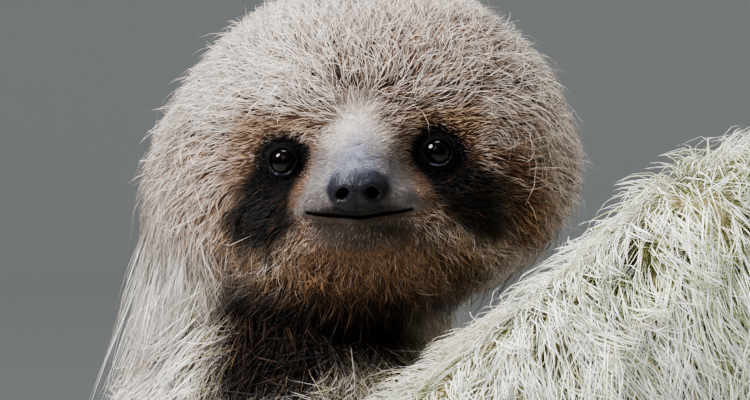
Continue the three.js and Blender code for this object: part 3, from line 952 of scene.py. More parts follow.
def noseColour(h):
    # the bare pad, darkest round the nostrils, and blue-grey on top with a painted sheen over its own grey
    c = colours
    pad = lay(np.tile(c["nose"], (len(h), 1)), smoothStep(-9.5, -6.0, h[:, 2]), c["noseTopSheen"])
    pad = lay(pad, smoothStep(-6.0, -2.4, h[:, 2]), c["blueGrey"] * 0.5)
    return lay(pad, smoothStep(-12.5, -14.5, h[:, 2]), c["lip"])


def skinColour(p):
    h, found, c = toHead(p), bodyParts(p), colours
    underArm = lay(c["straw"] * 0.85, mossiness(p), c["moss"] * 0.5 + c["straw"] * 0.35)
    body = lay(np.tile(c["umber"] * 0.55, (len(p), 1)), onlyArms(found, 0, 20), underArm)
    zones = faceZones(h)
    own = np.tile(c["umber"] * 0.45, (len(p), 1))
    for name, (*_, onSkin, under) in faceLayers.items():
        if under:
            own = lay(own, zones[name] * onSkin, c[under[0]] * under[1])
    near = 1 - smoothStep(-6, -2, h[:, 1])
    own = lay(own, near * (1 - smoothStep(0.25, 0.8, mouthGap(h))), c["lip"] * 0.5)
    own = lay(own, noseZone(h), noseColour(h))
    for side in (-1, 1):
        # painted shade: the insides of the nostrils are near-black
        hole = (1 - smoothStep(0.8, 1.25, nostrilRim(h, side))) * (h[:, 1] < -12)
        own = lay(own, hole, c["black"] * 0.25)
        ball = np.linalg.norm(h - eyeCentre(side), axis=1)
        own = lay(own, 1 - smoothStep(7.6, 9.8, ball), c["black"] * 0.6)
        # a painted glint along the wet edge of the lower lid
        own = lay(own, wetLidAndGlint(h, side), c["lidGlint"])
        ear = egg(h, vec(side * 52, head["earBack"], -head["earDown"]), vec(9, 8, 10))
        own = lay(own, 1 - smoothStep(-2, 2, ear), c["black"])
    return lay(body, headShare(found, -8, 10), own)


# ---- the skin

skinPlan = {
    "voxel": 3.4,
    "shrink": 9,  # how much thinner the rough body is than the solids
    "skull": (vec(-2, 42, -6), (52, 41, 44)),
    "muzzle": (vec(0, 4, -14), (20, 20, 13)),
    "tailShrink": (7, 5),
    "palm": 13,
    "digit": (10, 5.5, 4.5),
    "faceCuts": [
        # how far from the face's middle, and the cuts
        (vec(0, 8, -6), vec(66, 46, 56), 1),
        (vec(0, 0, -7), vec(38, 26, 27), 1),
        (vec(0, -10, -12), vec(21, 20, 15), 1),
        (vec(-21, 0, 0), vec(9.5, 10, 8.5), 2),
        (vec(21, 0, 0), vec(9.5, 10, 8.5), 2),
        (vec(0, -15, -13), vec(17, 12, 9.5), 1),
    ],
}


def addBlob(centre, size):
    bpy.ops.mesh.primitive_uv_sphere_add(segments=24, ring_count=14, radius=1, location=Vector(centre) * mm)
    blob = context.object
    blob.scale = Vector(size) * mm
    bpy.ops.object.transform_apply(location=True, rotation=False, scale=True)
    return blob


def blobChain(a, b, ra, rb, count):
    made = []
    for i in range(count + 1):
        t = i / count
        radius = ra + (rb - ra) * t
        made.append(addBlob(a + (b - a) * t, (radius, radius, radius)))
    return made


def roughBody():
    blobs, shrink = [], skinPlan["shrink"]
    for (a, ra), (b, rb) in zip(spine, spine[1:]):
        blobs += blobChain(a, b, ra - shrink, rb - shrink, 3)
    for centre, size in (skinPlan["skull"], skinPlan["muzzle"]):
        blobs.append(addBlob(fromHead(centre), size))
    atRoot, atTip = skinPlan["tailShrink"]
    blobs += blobChain(tail["root"], tail["tip"], tail["radius"] - atRoot, tail["end"] - atTip, 4)
    root, middle, tip = skinPlan["digit"]
    for side in joints:
        for names, kind in ((armNames, "hand"), (legNames, "foot")):
            points = [joints[side][n] for n in names]
            sizes = [girth[n] - shrink for n in names]
            blobs += blobChain(points[0], points[1], sizes[0], sizes[1], 6)
            blobs += blobChain(points[1], points[2], sizes[1], sizes[2], 6)
            wrist, palm, digits = pawPlans[side, kind]
            blobs += blobChain(wrist, palm, sizes[2], skinPlan["palm"], 4)
            for _, knuckle, end in digits:
                blobs += blobChain(palm, knuckle, root, middle, 4)
                blobs += blobChain(knuckle, end, middle, tip, 3)
    deselectAll()
    for blob in blobs:
        blob.select_set(True)
    context.view_layer.objects.active = blobs[0]
    bpy.ops.object.join()
    skin = context.object
    skin.name = "skin"
    remesh = skin.modifiers.new("oneSkin", "REMESH")
    remesh.mode = "VOXEL"
    remesh.voxel_size = skinPlan["voxel"] * mm
    bpy.ops.object.modifier_apply(modifier="oneSkin")
    return skin


def pointsOf(piece):
    flat = np.empty(len(piece.data.vertices) * 3)
    piece.data.vertices.foreach_get("co", flat)
    return flat.reshape(-1, 3) / mm


def setPoints(piece, p):
    piece.data.vertices.foreach_set("co", (p * mm).ravel())
    piece.data.update()


def editFaces(piece, chosen):
    # opens a piece for editing with only the chosen faces selected
    makeActive(piece)
    bpy.ops.object.mode_set(mode="EDIT")
    bpy.ops.mesh.select_mode(type="FACE")
    bpy.ops.mesh.select_all(action="DESELECT")
    bpy.ops.object.mode_set(mode="OBJECT")
    piece.data.polygons.foreach_set("select", chosen)
    bpy.ops.object.mode_set(mode="EDIT")


def endEdit():
    bpy.ops.mesh.select_all(action="DESELECT")
    bpy.ops.object.mode_set(mode="OBJECT")


def cutFiner(piece, centre, reach, cuts):
    h = toHead(pointsOf(piece))
    inside = (np.abs((h - centre) / reach) ** 2).sum(axis=1) < 1
    editFaces(piece, [all(inside[v] for v in polygon.vertices) for polygon in piece.data.polygons])
    bpy.ops.mesh.subdivide(number_cuts=cuts, smoothness=0)
    endEdit()


def evenOut(piece, repeat, factor=0.5):
    smooth = piece.modifiers.new("even", "SMOOTH")
    smooth.factor = factor
    smooth.iterations = repeat
    makeActive(piece)
    bpy.ops.object.modifier_apply(modifier="even")


def storeColour(piece, name, values):
    rgba = np.ones((len(values), 4), np.float32)
    rgba[:, :3] = values
    layer = piece.data.attributes.new(name, "FLOAT_COLOR", "POINT")
    layer.data.foreach_set("color", rgba.ravel())


def storeNumber(piece, name, values):
    layer = piece.data.attributes.new(name, "FLOAT", "POINT")
    layer.data.foreach_set("value", np.asarray(values, np.float32))


def unwrapFaces(piece, layerName, chosen):
    # lay the chosen faces out flat over the whole of a UV map
    layer = piece.data.uv_layers.new(name=layerName, do_init=False)
    piece.data.uv_layers.active = layer
    editFaces(piece, chosen)
    bpy.ops.uv.smart_project(angle_limit=1.15, island_margin=0.004, scale_to_bounds=True)
    endEdit()


def makeSkin(material):
    skin = roughBody()
    p = settle(pointsOf(skin), skinSurface, 3, 12)
    setPoints(skin, p)
    evenOut(skin, 2)
    for centre, reach, cuts in skinPlan["faceCuts"]:
        cutFiner(skin, centre, reach, cuts)
        setPoints(skin, settle(pointsOf(skin), skinSurface, 2, 3))
    flat = settle(pointsOf(skin), skinSurface, 3, 1.5)
    setPoints(skin, pressOpenings(flat))
    makeActive(skin)
    bpy.ops.object.shade_smooth()
    p = flat
    storeColour(skin, "tint", skinColour(p))
    moist = noseZone(toHead(p))
    for side in (-1, 1):
        moist = np.maximum(moist, wetLidAndGlint(toHead(p), side))
    storeNumber(skin, "bare", moist)
    skin.data.materials.clear()
    skin.data.materials.append(material)
    unwrapFaces(skin, "OFBake", np.ones(len(skin.data.polygons), bool))
    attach(skin, "root")
    flesh = ["head", "nose", "neck", "torso", "tail", "ear_left", "ear_right"]
    for side in joints:
        flesh += [part + side for part in ("upper_arm_", "forearm_", "hand_", "thigh_", "shin_", "foot_")]
    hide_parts(*flesh)
    print("skin:", len(skin.data.polygons), "faces")
    return skin


# ---- the coat

def tangent(direction, normal):
    flat = direction - normal * (direction * normal).sum(axis=1, keepdims=True)
    return flat / np.maximum(np.linalg.norm(flat, axis=1, keepdims=True), 1e-6)


def unit(v):
    return v / np.maximum(np.linalg.norm(v, axis=-1, keepdims=True), 1e-9)


# how far round and along a limb its hair runs, and the share of the limb's own run that is taken out
limbLie = {
    "arm_": {"along": 0.06, "out": 0.26, "turned": 0.85},
    "leg_": {"along": 0.50, "out": 0.30, "turned": 0.85},
}
trunkLie = {"back": vec(-0.5, -0.1, -1), "neck": vec(-0.08, -0.1, -1), "neckFrom": 492, "neckTo": 520}


def headFlow(h):
    # out from between the eyes, and hanging more to the sides, the back and the locks
    spot = np.stack([0 * h[:, 0], 0 * h[:, 0] - 14, np.clip(h[:, 2], -4, 12)], axis=1)
    hang = 0.75 * smoothStep(24, 56, np.abs(h[:, 0])) * smoothStep(40, -10, h[:, 2])
    hang = hang + 1.1 * smoothStep(20, 70, h[:, 1]) + 0.35 * smoothStep(-12, -30, h[:, 2])
    hang = hang + 0.6 * smoothStep(-28, -50, h[:, 0])
    return (unit(h - spot) + hang[:, None] * vec(0, 0.15, -1)) @ headAxes.T


def limbFlow(p, side, kind, names):
    # round the limb, outwards and down, with a little of the way along it
    a, b, c = (joints[side][n] for n in names)
    lie = limbLie[kind]
    along = unit(np.tile(a - c, (len(p), 1)))
    if kind == "leg_":
        nearer = smoothStep(-12, 12, bone(p, b, c, 0, 0) - bone(p, a, b, 0, 0))[:, None]
        shin, thigh = (unit(np.tile(run, (len(p), 1))) for run in (b - c, a - b))
        along = blend(shin, thigh, nearer)
    down = vec(0, 0, -1)
    outward = -1 if side == "right" else 1
    push = outward * (2 * smoothStep(28, 46, outward * p[:, 1]) - 1)
    own = down - along * (along @ down)[:, None] * lie["turned"] + along * lie["along"]
    return own + vec(0, lie["out"], 0) * push[:, None]


def coatFlow(p):
    # the lie of the coat, each part's own, melted together where they meet
    found = bodyParts(p)
    high = smoothStep(trunkLie["neckFrom"], trunkLie["neckTo"], p[:, 2])[:, None]
    flow = blend(np.tile(trunkLie["back"], (len(p), 1)), trunkLie["neck"], high)
    best = found["trunk"].copy()
    for side in joints:
        for kind, names in (("arm_", armNames), ("leg_", legNames)):
            weight = smoothStep(-14, 14, best - found[kind + side])[:, None]
            flow = blend(flow, limbFlow(p, side, kind, names), weight)
            best = np.minimum(best, found[kind + side])
    weight = smoothStep(-10, 10, best - found["head"])[:, None]
    flow = blend(flow, headFlow(toHead(p)), weight)
    tailRun = np.tile(unit(tail["tip"] - tail["root"]), (len(p), 1))
    return blend(flow, tailRun, smoothStep(-4, 8, best - found["tail"])[:, None])


def coat(density, length, width, steps=3, clump=7, pull=0.5, lift=1.0, wild=0.2, stray=0.03,
         guard=0.0, reach=5.0, vary=(0.55, 1.2), slot="coat_body"):
    # hairs per square centimetre, length and width in mm, bends, hairs in a lock, how hard a lock pulls,
    # how far the tips rise, how unruly the hairs are, the shares that stand out of the coat and that
    # are long pale guard hairs, how far they stand out, and how much the tones vary
    return dict(density=density, length=length, width=width, steps=steps, clump=clump, pull=pull,
                lift=lift, wild=wild, stray=stray, guard=guard, reach=reach, vary=vary, slot=slot)


foreheadCoat = coat(226, 13, 0.28, steps=4, clump=6, pull=0.45, wild=0.34, stray=0.05,
                    guard=0.30, vary=(0.40, 1.22), slot="coat_head")
armCoat = coat(66, 17, 0.43, steps=4, clump=12, pull=0.9, lift=1.1, wild=0.24,
               stray=0.06, vary=(0.92, 1.12), slot="coat_arm")
coats = {
    "coat_muzzle": coat(480, 7.5, 0.18, clump=5, pull=0.3, lift=0.55, wild=0.28, stray=0, slot="coat_head"),
    "coat_forehead_left": foreheadCoat,
    "coat_forehead_right": foreheadCoat,
    "coat_cheek_left": coat(286, 11, 0.29, wild=0.26, stray=0.03, guard=0.06, slot="coat_head"),
    "coat_cheek_right": coat(286, 12, 0.30, wild=0.26, stray=0.03, guard=0.06, slot="coat_head"),
    "coat_crown": coat(105, 21, 0.46, wild=0.26, stray=0.10, slot="coat_head"),
    "coat_nape": coat(105, 23, 0.48, wild=0.24, stray=0.10, slot="coat_head"),
    "coat_neck_front": coat(122, 28, 0.44, clump=9, pull=0.65, wild=0.20, stray=0.03, slot="coat_head"),
    "coat_neck_back": coat(36, 32, 0.85, wild=0.15, stray=0.06, slot="coat_head"),
    "coat_shoulders": coat(32, 36, 0.95, stray=0.08),
    "coat_back": coat(12, 42, 1.6, clump=6, stray=0.12, reach=8.0),
    "coat_belly": coat(10, 38, 1.7, clump=6, stray=0.08, reach=8.0),
    "coat_arm_right_upper": armCoat,
    "coat_arm_right_front": dict(armCoat, vary=(0.88, 1.12)),
    "coat_arm_right_inner": coat(36, 20, 0.7, vary=(0.7, 1.1), slot="coat_arm"),
    "coat_arm_right_lower": coat(38, 22, 0.75, clump=9, pull=0.9, stray=0.05, vary=(0.7, 1.1),
                                 slot="coat_arm"),
    "coat_arm_left": coat(16, 30, 1.2, clump=6, stray=0.08, reach=8.0, vary=(0.7, 1.1),
                          slot="coat_arm"),
    "coat_legs": coat(12, 32, 1.4, clump=6, stray=0.10, reach=8.0),
    "coat_hands": coat(26, 9, 0.8, 2, 0, lift=0.8, slot="coat_arm"),
    "coat_feet": coat(26, 9, 0.8, 2, 0, lift=0.8),
    "coat_tail": coat(30, 22, 1.0, clump=5, stray=0.08),
}
coatNames = list(coats)
muzzleMiddle = vec(0, -6, -9)


# heights, depths and widths at which one piece of the coat gives way to the next
coatEdges = {
    "belly": (-60, 0.32, 262),  # how far forward, how much that changes with height, and at which height
    "shoulders": 395,
    "neck": 468,
    "neckFront": 2,
    "upperArm": -45,
    "pastElbow": 14,
    "behindArm": 20,
    "paw": 30,
    "frontHead": 36,
    "forehead": 6,
    "crown": 4,
    "muzzle": 19,
}


def coatRegion(p):
    # the coat piece that each point of the skin belongs to
    h, found = toHead(p), bodyParts(p)
    keys = list(found)
    nearest = np.argmin([found[k] for k in keys], axis=0)
    region = np.full(len(p), coatNames.index("coat_back"))

    def put(where, name):
        region[where] = coatNames.index(name)

    on = {k: nearest == i for i, k in enumerate(keys)}
    e = coatEdges
    front, slope, level = e["belly"]
    put(on["trunk"] & (p[:, 0] > front - slope * (p[:, 2] - level)), "coat_belly")
    put(on["trunk"] & (p[:, 2] > e["shoulders"]), "coat_shoulders")
    put(on["trunk"] & (p[:, 2] > e["neck"]), "coat_neck_back")
    put(on["trunk"] & (p[:, 2] > e["neck"]) & (p[:, 1] < e["neckFront"]), "coat_neck_front")
    put(on["tail"], "coat_tail")
    put(on["leg_left"] | on["leg_right"], "coat_legs")
    put(on["arm_left"], "coat_arm_left")
    a, b = (joints["right"][n] for n in armNames[:2])
    lower = p[:, 0] > b[0] + e["pastElbow"]
    share = np.clip((p[:, 0] - a[0]) / (b[0] - a[0]), 0, 1)
    inner = p[:, 1] > a[1] + (b[1] - a[1]) * share + e["behindArm"]
    put(on["arm_right"] & ~lower, "coat_arm_right_front")
    put(on["arm_right"] & (p[:, 0] < e["upperArm"]), "coat_arm_right_upper")
    put(on["arm_right"] & ~lower & inner, "coat_arm_right_inner")
    put(on["arm_right"] & lower, "coat_arm_right_lower")
    paw = nearPaw(p) < e["paw"]
    put(paw, "coat_hands")
    put(paw & (on["leg_left"] | on["leg_right"]), "coat_feet")
    frontHead = on["head"] & (h[:, 1] < e["frontHead"])
    put(on["head"] & ~frontHead, "coat_nape")
    put(on["head"] & ~frontHead & (h[:, 2] > e["crown"]), "coat_crown")
    high = h[:, 2] > e["forehead"]
    for half, side in ((h[:, 0] > 0, "left"), (h[:, 0] <= 0, "right")):
        put(frontHead & high & half, "coat_forehead_" + side)
        put(frontHead & ~high & half, "coat_cheek_" + side)
    fromMuzzle = np.linalg.norm((h - muzzleMiddle) / vec(1.05, 1, 1.0), axis=1)
    put(on["head"] & (fromMuzzle < e["muzzle"]), "coat_muzzle")
    return region


# the share of its length that hair has next to the eyes, the muzzle and the mouth, and the distances
# over which it reaches its full length; then how much longer it is under the head and at its sides
shorter = {"eye": (0.13, 5.0, 24), "muzzle": (0.30, 16, 36), "mouth": (0.12, 1.0, 6)}
longer = {"beard": 0.3, "sides": 0.9, "locks": 1.0}


def lengthFactor(p):
    h = toHead(p)
    gaps = []
    for side in (-1, 1):
        gaps.append(("eye", np.linalg.norm((h - eyeCentre(side)) * vec(1, 0.5, 1), axis=1)))
    gaps.append(("muzzle", np.linalg.norm(h - muzzleMiddle, axis=1)))
    gaps.append(("mouth", mouthGap(h) + 20 * (h[:, 1] > 0)))
    factor = np.ones(len(p))
    for name, gap in gaps:
        share, near, far = shorter[name]
        factor = np.minimum(factor, blend(share, 1.0, smoothStep(near, far, gap)))
    beard = smoothStep(-20, -32, h[:, 2]) * (np.abs(h[:, 0]) < 60) * (h[:, 1] < 45)
    sides = smoothStep(32, 54, np.abs(h[:, 0])) * (h[:, 1] < 60)
    locks = smoothStep(-34, -50, h[:, 0]) * smoothStep(14, -6, h[:, 2])
    more = 1 + longer["beard"] * np.clip(beard, 0, 1) + longer["sides"] * np.clip(sides, 0, 1)
    return factor * (more + longer["locks"] * locks)


def bareZone(p):
    # where no hair grows: nose pad, lips' edge, the eyes' openings and the roots of the claws
    h = toHead(p)
    bare = (noseZone(h) > 0.35) & ((h[:, 2] < -5.5) | (noseZone(h) > 0.9))
    bare |= (mouthGap(h) < 1.2) & (h[:, 1] < -3)
    for side in (-1, 1):
        gap, _ = openingGap(h, side)
        bare |= (gap < 0.45) & (np.linalg.norm(h - eyeCentre(side), axis=1) < 9)
    for *_, digits in pawPlans.values():
        for *_, end in digits:
            bare |= np.linalg.norm(p - end, axis=1) < 5.5
    return bare


def skinTriangles(skin):
    mesh = skin.data
    mesh.calc_loop_triangles()
    count = len(mesh.loop_triangles)
    corners = np.empty(count * 3, np.int32)
    mesh.loop_triangles.foreach_get("vertices", corners)
    loops = np.empty(count * 3, np.int32)
    mesh.loop_triangles.foreach_get("loops", loops)
    owner = np.empty(count, np.int32)
    mesh.loop_triangles.foreach_get("polygon_index", owner)
    return corners.reshape(-1, 3), loops.reshape(-1, 3), owner


def sowRoots(points, triangles, density, random):
    a, b, c = (points[triangles[:, i]] for i in range(3))
    cross = np.cross(b - a, c - a)
    area = np.linalg.norm(cross, axis=1) / 2
    weight = np.cumsum(area)
    count = int(weight[-1] / 100 * density)
    place = (np.arange(count) + random.random(count)) / count * weight[-1]
    pick = np.minimum(np.searchsorted(weight, place), len(triangles) - 1)
    u, v = random.random(count), random.random(count)
    flip = u + v > 1
    u[flip], v[flip] = 1 - u[flip], 1 - v[flip]
    share = np.stack([1 - u - v, u, v], axis=1)
    corners = points[triangles[pick]]
    roots = (corners * share[:, :, None]).sum(axis=1)
    return roots, pick, share


def beardZone(p):
    # the curly hair under the face
    h = toHead(p)
    return smoothStep(-22, -31, h[:, 2]) * smoothStep(64, 44, np.abs(h[:, 0])) * smoothStep(50, 34, h[:, 1])


# how the hairs differ from each other; pairs are the least and the most
growth = {
    "length": (0.65, 1.2),
    "guardLength": 1.6,
    "strayLength": 1.3,
    "tips": (0.32, 1.12),  # how high in the coat the tips end
    "tipCurve": 0.6,
    "strayTips": (1.05, 1.4),
    "guardTips": (0.9, 1.12),
    "guardReach": 1.4,
    "rough": (0.01, 0.09),  # how far tips may stand out, by length
    "crest": (0.5, 0.95),  # how level the top of a limb is where its hair is fluffed
    "crestRough": 1.6,
    "crestTips": 0.1,
    "curl": 1.9,
    "looseCurl": 1.5,
    "jitter": 0.3,
    "locks": ((0.36, 17, 21), (0.24, 6.5, 22)),  # strength, size and number of each ripple
    "rootSunk": 0.4,
    "steepest": 0.94,
    "width": (0.6, 1.35),
    "strayWidth": 0.6,
    "guardWidth": 0.85,
}


def hairTips(roots, normal, length, stray, guard, plan, random):
    # how high each tip rises and how far it may stand out of the coat
    count, g = len(roots), growth
    top = random.uniform(*g["tips"], count) ** g["tipCurve"] * plan["lift"]
    top[stray] = random.uniform(*g["strayTips"], stray.sum()) + plan["reach"] * 0.08
    top[guard] = random.uniform(*g["guardTips"], guard.sum())
    rough = random.uniform(*g["rough"], count) * length
    if plan["slot"] == "coat_arm":
        crest = smoothStep(*g["crest"], normal[:, 2])
        rough = rough + crest * random.uniform(0, g["crestRough"], count)
        top = top * (1 + g["crestTips"] * crest)
    return top, rough


def hairTurns(roots, stray, guard, plan, random):
    # each hair's arc, and how far it lies off the flow, which neighbours share
    count, g = len(roots), growth
    loose = np.where(stray | guard, g["looseCurl"], 1)
    curl = random.normal(0, plan["wild"] * g["curl"], count) * (1 + beardZone(roots)) * loose
    swirl = sum(strength * ripple(roots, size, number) for strength, size, number in g["locks"])
    swirl = swirl + random.normal(0, plan["wild"], count)
    return curl, swirl * np.where(guard, g["looseCurl"], 1.0)


def growHairs(roots, plan, random):
    count, steps, g = len(roots), plan["steps"], growth
    normal = gradient(coatSurface, roots)
    deep = np.maximum(-coatSurface(roots), 0.3)
    length = plan["length"] * lengthFactor(roots) * random.uniform(*g["length"], count)
    guard = (random.random(count) < plan["guard"]) * (lengthFactor(roots) > 0.6)
    stray = random.random(count) < plan["stray"]
    length = length * np.where(guard, g["guardLength"], 1.0) * np.where(stray, g["strayLength"], 1.0)
    length = np.maximum(length, deep * 1.08)
    top, rough = hairTips(roots, normal, length, stray, guard, plan, random)
    curl, swirl = hairTurns(roots, stray, guard, plan, random)
    limit = np.where(stray, plan["reach"], np.where(guard, g["guardReach"], rough))
    path = [roots - normal * g["rootSunk"]]
    here = roots
    seg = length / steps
    for k in range(1, steps + 1):
        share, before = k / steps, (k - 1) / steps
        flow = tangent(coatFlow(here), normal)
        across = np.cross(normal, flow)
        jitter = random.normal(0, plan["wild"] * g["jitter"], count)
        turn = swirl * (0.6 + 0.8 * share) + curl * (share - 0.3) + jitter
        flow = flow * np.cos(turn)[:, None] + across * np.sin(turn)[:, None]
        rise = deep * top * (math.sin(share * math.pi / 2) ** 0.9 - math.sin(before * math.pi / 2) ** 0.9)
        lean = np.clip(rise / seg, 0, g["steepest"])
        here = here + seg[:, None] * (flow * np.sqrt(1 - lean ** 2)[:, None] + normal * lean[:, None])
        over = coatSurface(here) - limit
        normal = gradient(coatSurface, here)
        here = here - normal * np.maximum(over, 0)[:, None]
        path.append(here)
    path = np.stack(path, axis=1)
    for i in range(2):
        path[:, 1:-1] += 0.25 * (path[:, :-2] + path[:, 2:] - 2 * path[:, 1:-1])
    return path, stray, guard


lockPlan = {"pull": (0.3, 1.3), "strongest": 0.92, "gathered": 0.75, "bend": 1.4}


def clumpHairs(path, size, random, strength):
    # neighbours lean together into locks
    roots = path[:, 0]
    leaders = random.choice(len(roots), max(1, len(roots) // size), replace=False)
    tree = KDTree(len(leaders))
    for i, leader in enumerate(leaders):
        tree.insert(roots[leader], i)
    tree.balance()
    nearest = np.array([leaders[tree.find(r)[1]] for r in roots])
    steps = path.shape[1] - 1
    pull = strength * random.uniform(*lockPlan["pull"], len(roots))
    for k in range(1, steps + 1):
        share = (k / steps) ** lockPlan["bend"]
        apart = (path[:, 0] - path[nearest, 0]) * (1 - lockPlan["gathered"] * share)
        goal = path[nearest, k] + apart
        weight = np.clip(pull * share, 0, lockPlan["strongest"])[:, None]
        path[:, k] = path[:, k] * (1 - weight) + goal * weight
    return path


# one hair: the corners of its flattened section, how much thinner it gets, the share of its length over
# which the root's colour turns into the tip's, and the size of its patch on the bake map
hairShape = {
    "section": ((1.0, -0.32), (-1.0, -0.32), (0.0, 0.62)),
    "thinner": 0.45,
    "tint": (0.08, 0.72),
    "patch": 0.003,
}


def hairCells(steps):
    # the triangles of one hair, from its root point through its rings to its tip, and where each corner
    # lies along and round it
    cells, places = [], []
    for j in range(3):
        cells.append((0, 1 + j, 1 + (j + 1) % 3))
        places.append(((0, j + 0.5), (1, j), (1, j + 1)))
    for k in range(1, steps - 1):
        for j in range(3):
            a = k * 3 - 2 + j
            b = k * 3 - 2 + (j + 1) % 3
            cells += [(a, a + 3, b), (b, a + 3, b + 3)]
            places += [((k, j), (k + 1, j), (k, j + 1)), ((k, j + 1), (k + 1, j), (k + 1, j + 1))]
    tip = steps * 3 - 2
    for j in range(3):
        cells.append((tip - 3 + j, tip, tip - 3 + (j + 1) % 3))
        places.append(((steps - 1, j), (steps, j + 0.5), (steps - 1, j + 1)))
    return np.array(cells, np.int32), np.array(places, float)


def hairPoints(path, width):
    # every hair is a closed spindle with three sides
    count, steps = len(path), path.shape[1] - 1
    run = unit(path[:, 2:] - path[:, :-2])
    normal = gradient(coatSurface, path[:, 0])[:, None]
    wide = unit(np.cross(run, normal))
    thin = np.cross(run, wide)
    points = np.empty((count, steps * 3 - 1, 3), np.float32)
    points[:, 0] = path[:, 0]
    points[:, -1] = path[:, -1]
    for k in range(1, steps):
        half = width * 0.5 * (1 - hairShape["thinner"] * (k - 1) / max(steps - 2, 1))
        for j, (x, y) in enumerate(hairShape["section"]):
            offset = wide[:, k - 1] * (half * x)[:, None] + thin[:, k - 1] * (half * y)[:, None]
            points[:, k * 3 - 2 + j] = path[:, k] + offset
    return points


def hairMesh(name, path, width, tones, rootUv):
    count, steps, patch = len(path), path.shape[1] - 1, hairShape["patch"]
    points = hairPoints(path, width)
    cells, places = hairCells(steps)
    faces = (cells[None] + (np.arange(count) * points.shape[1])[:, None, None]).reshape(-1, 3)
    local = np.stack([places[:, :, 1] / 3 - 0.5, places[:, :, 0] / steps - 0.5], axis=2) * patch
    uv = np.clip(rootUv, patch, 1 - patch)[:, None, None, :] + local[None]
    mesh = bpy.data.meshes.new(name)
    mesh.vertices.add(points.shape[0] * points.shape[1])
    mesh.vertices.foreach_set("co", (points * mm).ravel())
    mesh.loops.add(len(faces) * 3)
    mesh.loops.foreach_set("vertex_index", faces.ravel())
    mesh.polygons.add(len(faces))
    mesh.polygons.foreach_set("loop_start", np.arange(len(faces), dtype=np.int32) * 3)
    mesh.update(calc_edges=True)
    mesh.polygons.foreach_set("use_smooth", np.ones(len(faces), bool))
    layer = mesh.uv_layers.new(name="OFBake")
    layer.data.foreach_set("uv", uv.reshape(-1).astype(np.float32))
    piece = bpy.data.objects.new(name, mesh)
    context.collection.objects.link(piece)
    shares = np.concatenate([[0.0], np.repeat(np.arange(1, steps) / steps, 3), [1.0]])
    rootTone, tipTone = tones
    change = smoothStep(*hairShape["tint"], shares)[None, :, None]
    values = rootTone[:, None] * (1 - change) + tipTone[:, None] * change
    storeColour(piece, "tint", values.reshape(-1, 3))
    return piece


def makeCoat(skin, material):
    points = pointsOf(skin)
    triangles, loops, owner = skinTriangles(skin)
    region = coatRegion(points[triangles].mean(axis=1))
    polyRegion = np.zeros(len(skin.data.polygons), int)
    polyRegion[owner] = region
    total = 0
    for number, name in enumerate(coatNames):
        plan = coats[name]
        random = np.random.default_rng(seed + number)
        own = polyRegion[owner] == number
        if not own.any():
            print("no skin for", name)
            continue
        unwrapFaces(skin, "lay", polyRegion == number)
        flat = np.empty(len(skin.data.loops) * 2, np.float32)
        skin.data.uv_layers["lay"].data.foreach_get("uv", flat)
        flat = flat.reshape(-1, 2)
        skin.data.uv_layers.remove(skin.data.uv_layers["lay"])
        density = plan["density"] * 1
        roots, pick, share = sowRoots(points, triangles[own], density, random)
        keep = ~bareZone(roots)
        roots, pick, share = roots[keep], pick[keep], share[keep]
        rootUv = (flat[loops[own][pick]] * share[:, :, None]).sum(axis=1)
        path, stray, guard = growHairs(roots, plan, random)
        if plan["clump"]:
            path = clumpHairs(path, plan["clump"], random, plan["pull"])
        width = plan["width"] * random.uniform(*growth["width"], len(roots))
        width = width * np.clip(lengthFactor(roots), 0.5, 1.15)
        width[stray] *= growth["strayWidth"]
        width[guard] *= growth["guardWidth"]
        # what shows of a hair is its outer part, so the marking is read there
        shown = path[:, -2] if plan["steps"] > 2 else path[:, 1]
        tip = coatColour(shown, random)
        bright = np.maximum(tip, colours["cream"] * smoothStep(0.08, 0.3, tip[:, :1]))
        tip = blend(tip, bright, (guard * 0.8 * (1 - 0.9 * beardZone(roots)))[:, None])
        tip = tip * random.uniform(*plan["vary"], (len(roots), 1))
        root = blend(tip, skinColour(roots), 0.5 if plan["slot"] == "coat_arm" else 0.82)
        piece = hairMesh(name, path, width, (root, tip), rootUv)
        piece.data.materials.append(material)
        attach(piece, "root")
        total += len(piece.data.polygons)
        print(name, len(roots), "hairs,", len(piece.data.polygons), "triangles")
    print("coat:", total, "triangles")


# ---- eyes and claws

eyePlan = {"radius": 5.2, "cornea": 0.35, "iris": 3.2, "pupil": 1.7}


def makeEye(side, name, material):
    deselectAll()
    bpy.ops.mesh.primitive_uv_sphere_add(segments=64, ring_count=40, radius=eyePlan["radius"] * mm)
    eye = context.object
    eye.name = name
    turn = math.radians(face["openingTurn"] * side)
    p = pointsOf(eye)
    # the sphere's pole becomes the middle of the pupil, with a low cornea over it
    p = np.stack([p[:, 0], -p[:, 2], p[:, 1]], axis=1)
    off = np.hypot(p[:, 0], p[:, 2])
    p[:, 1] -= eyePlan["cornea"] * (1 - smoothStep(1.8, 4.2, off)) * (p[:, 1] < 0)
    iris, pupil, front = eyePlan["iris"], eyePlan["pupil"], p[:, 1] < 0
    tone = np.tile(paint(14, 10, 9), (len(p), 1))
    tone = lay(tone, (1 - smoothStep(iris - 0.5, iris + 0.3, off)) * front, paint(17, 12, 10))
    tone = lay(tone, (1 - smoothStep(pupil - 0.1, pupil + 0.1, off)) * front, paint(4, 4, 4))
    x = p[:, 0] * math.cos(turn) - p[:, 1] * math.sin(turn)
    y = p[:, 0] * math.sin(turn) + p[:, 1] * math.cos(turn)
    p = fromHead(np.stack([x, y, p[:, 2]], axis=1) + eyeCentre(side))
    setPoints(eye, p)
    bpy.ops.object.shade_smooth()
    storeColour(eye, "tint", tone)
    eye.data.materials.append(material)
    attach(eye, "root")
    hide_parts(name.replace("eyeball", "eye"))


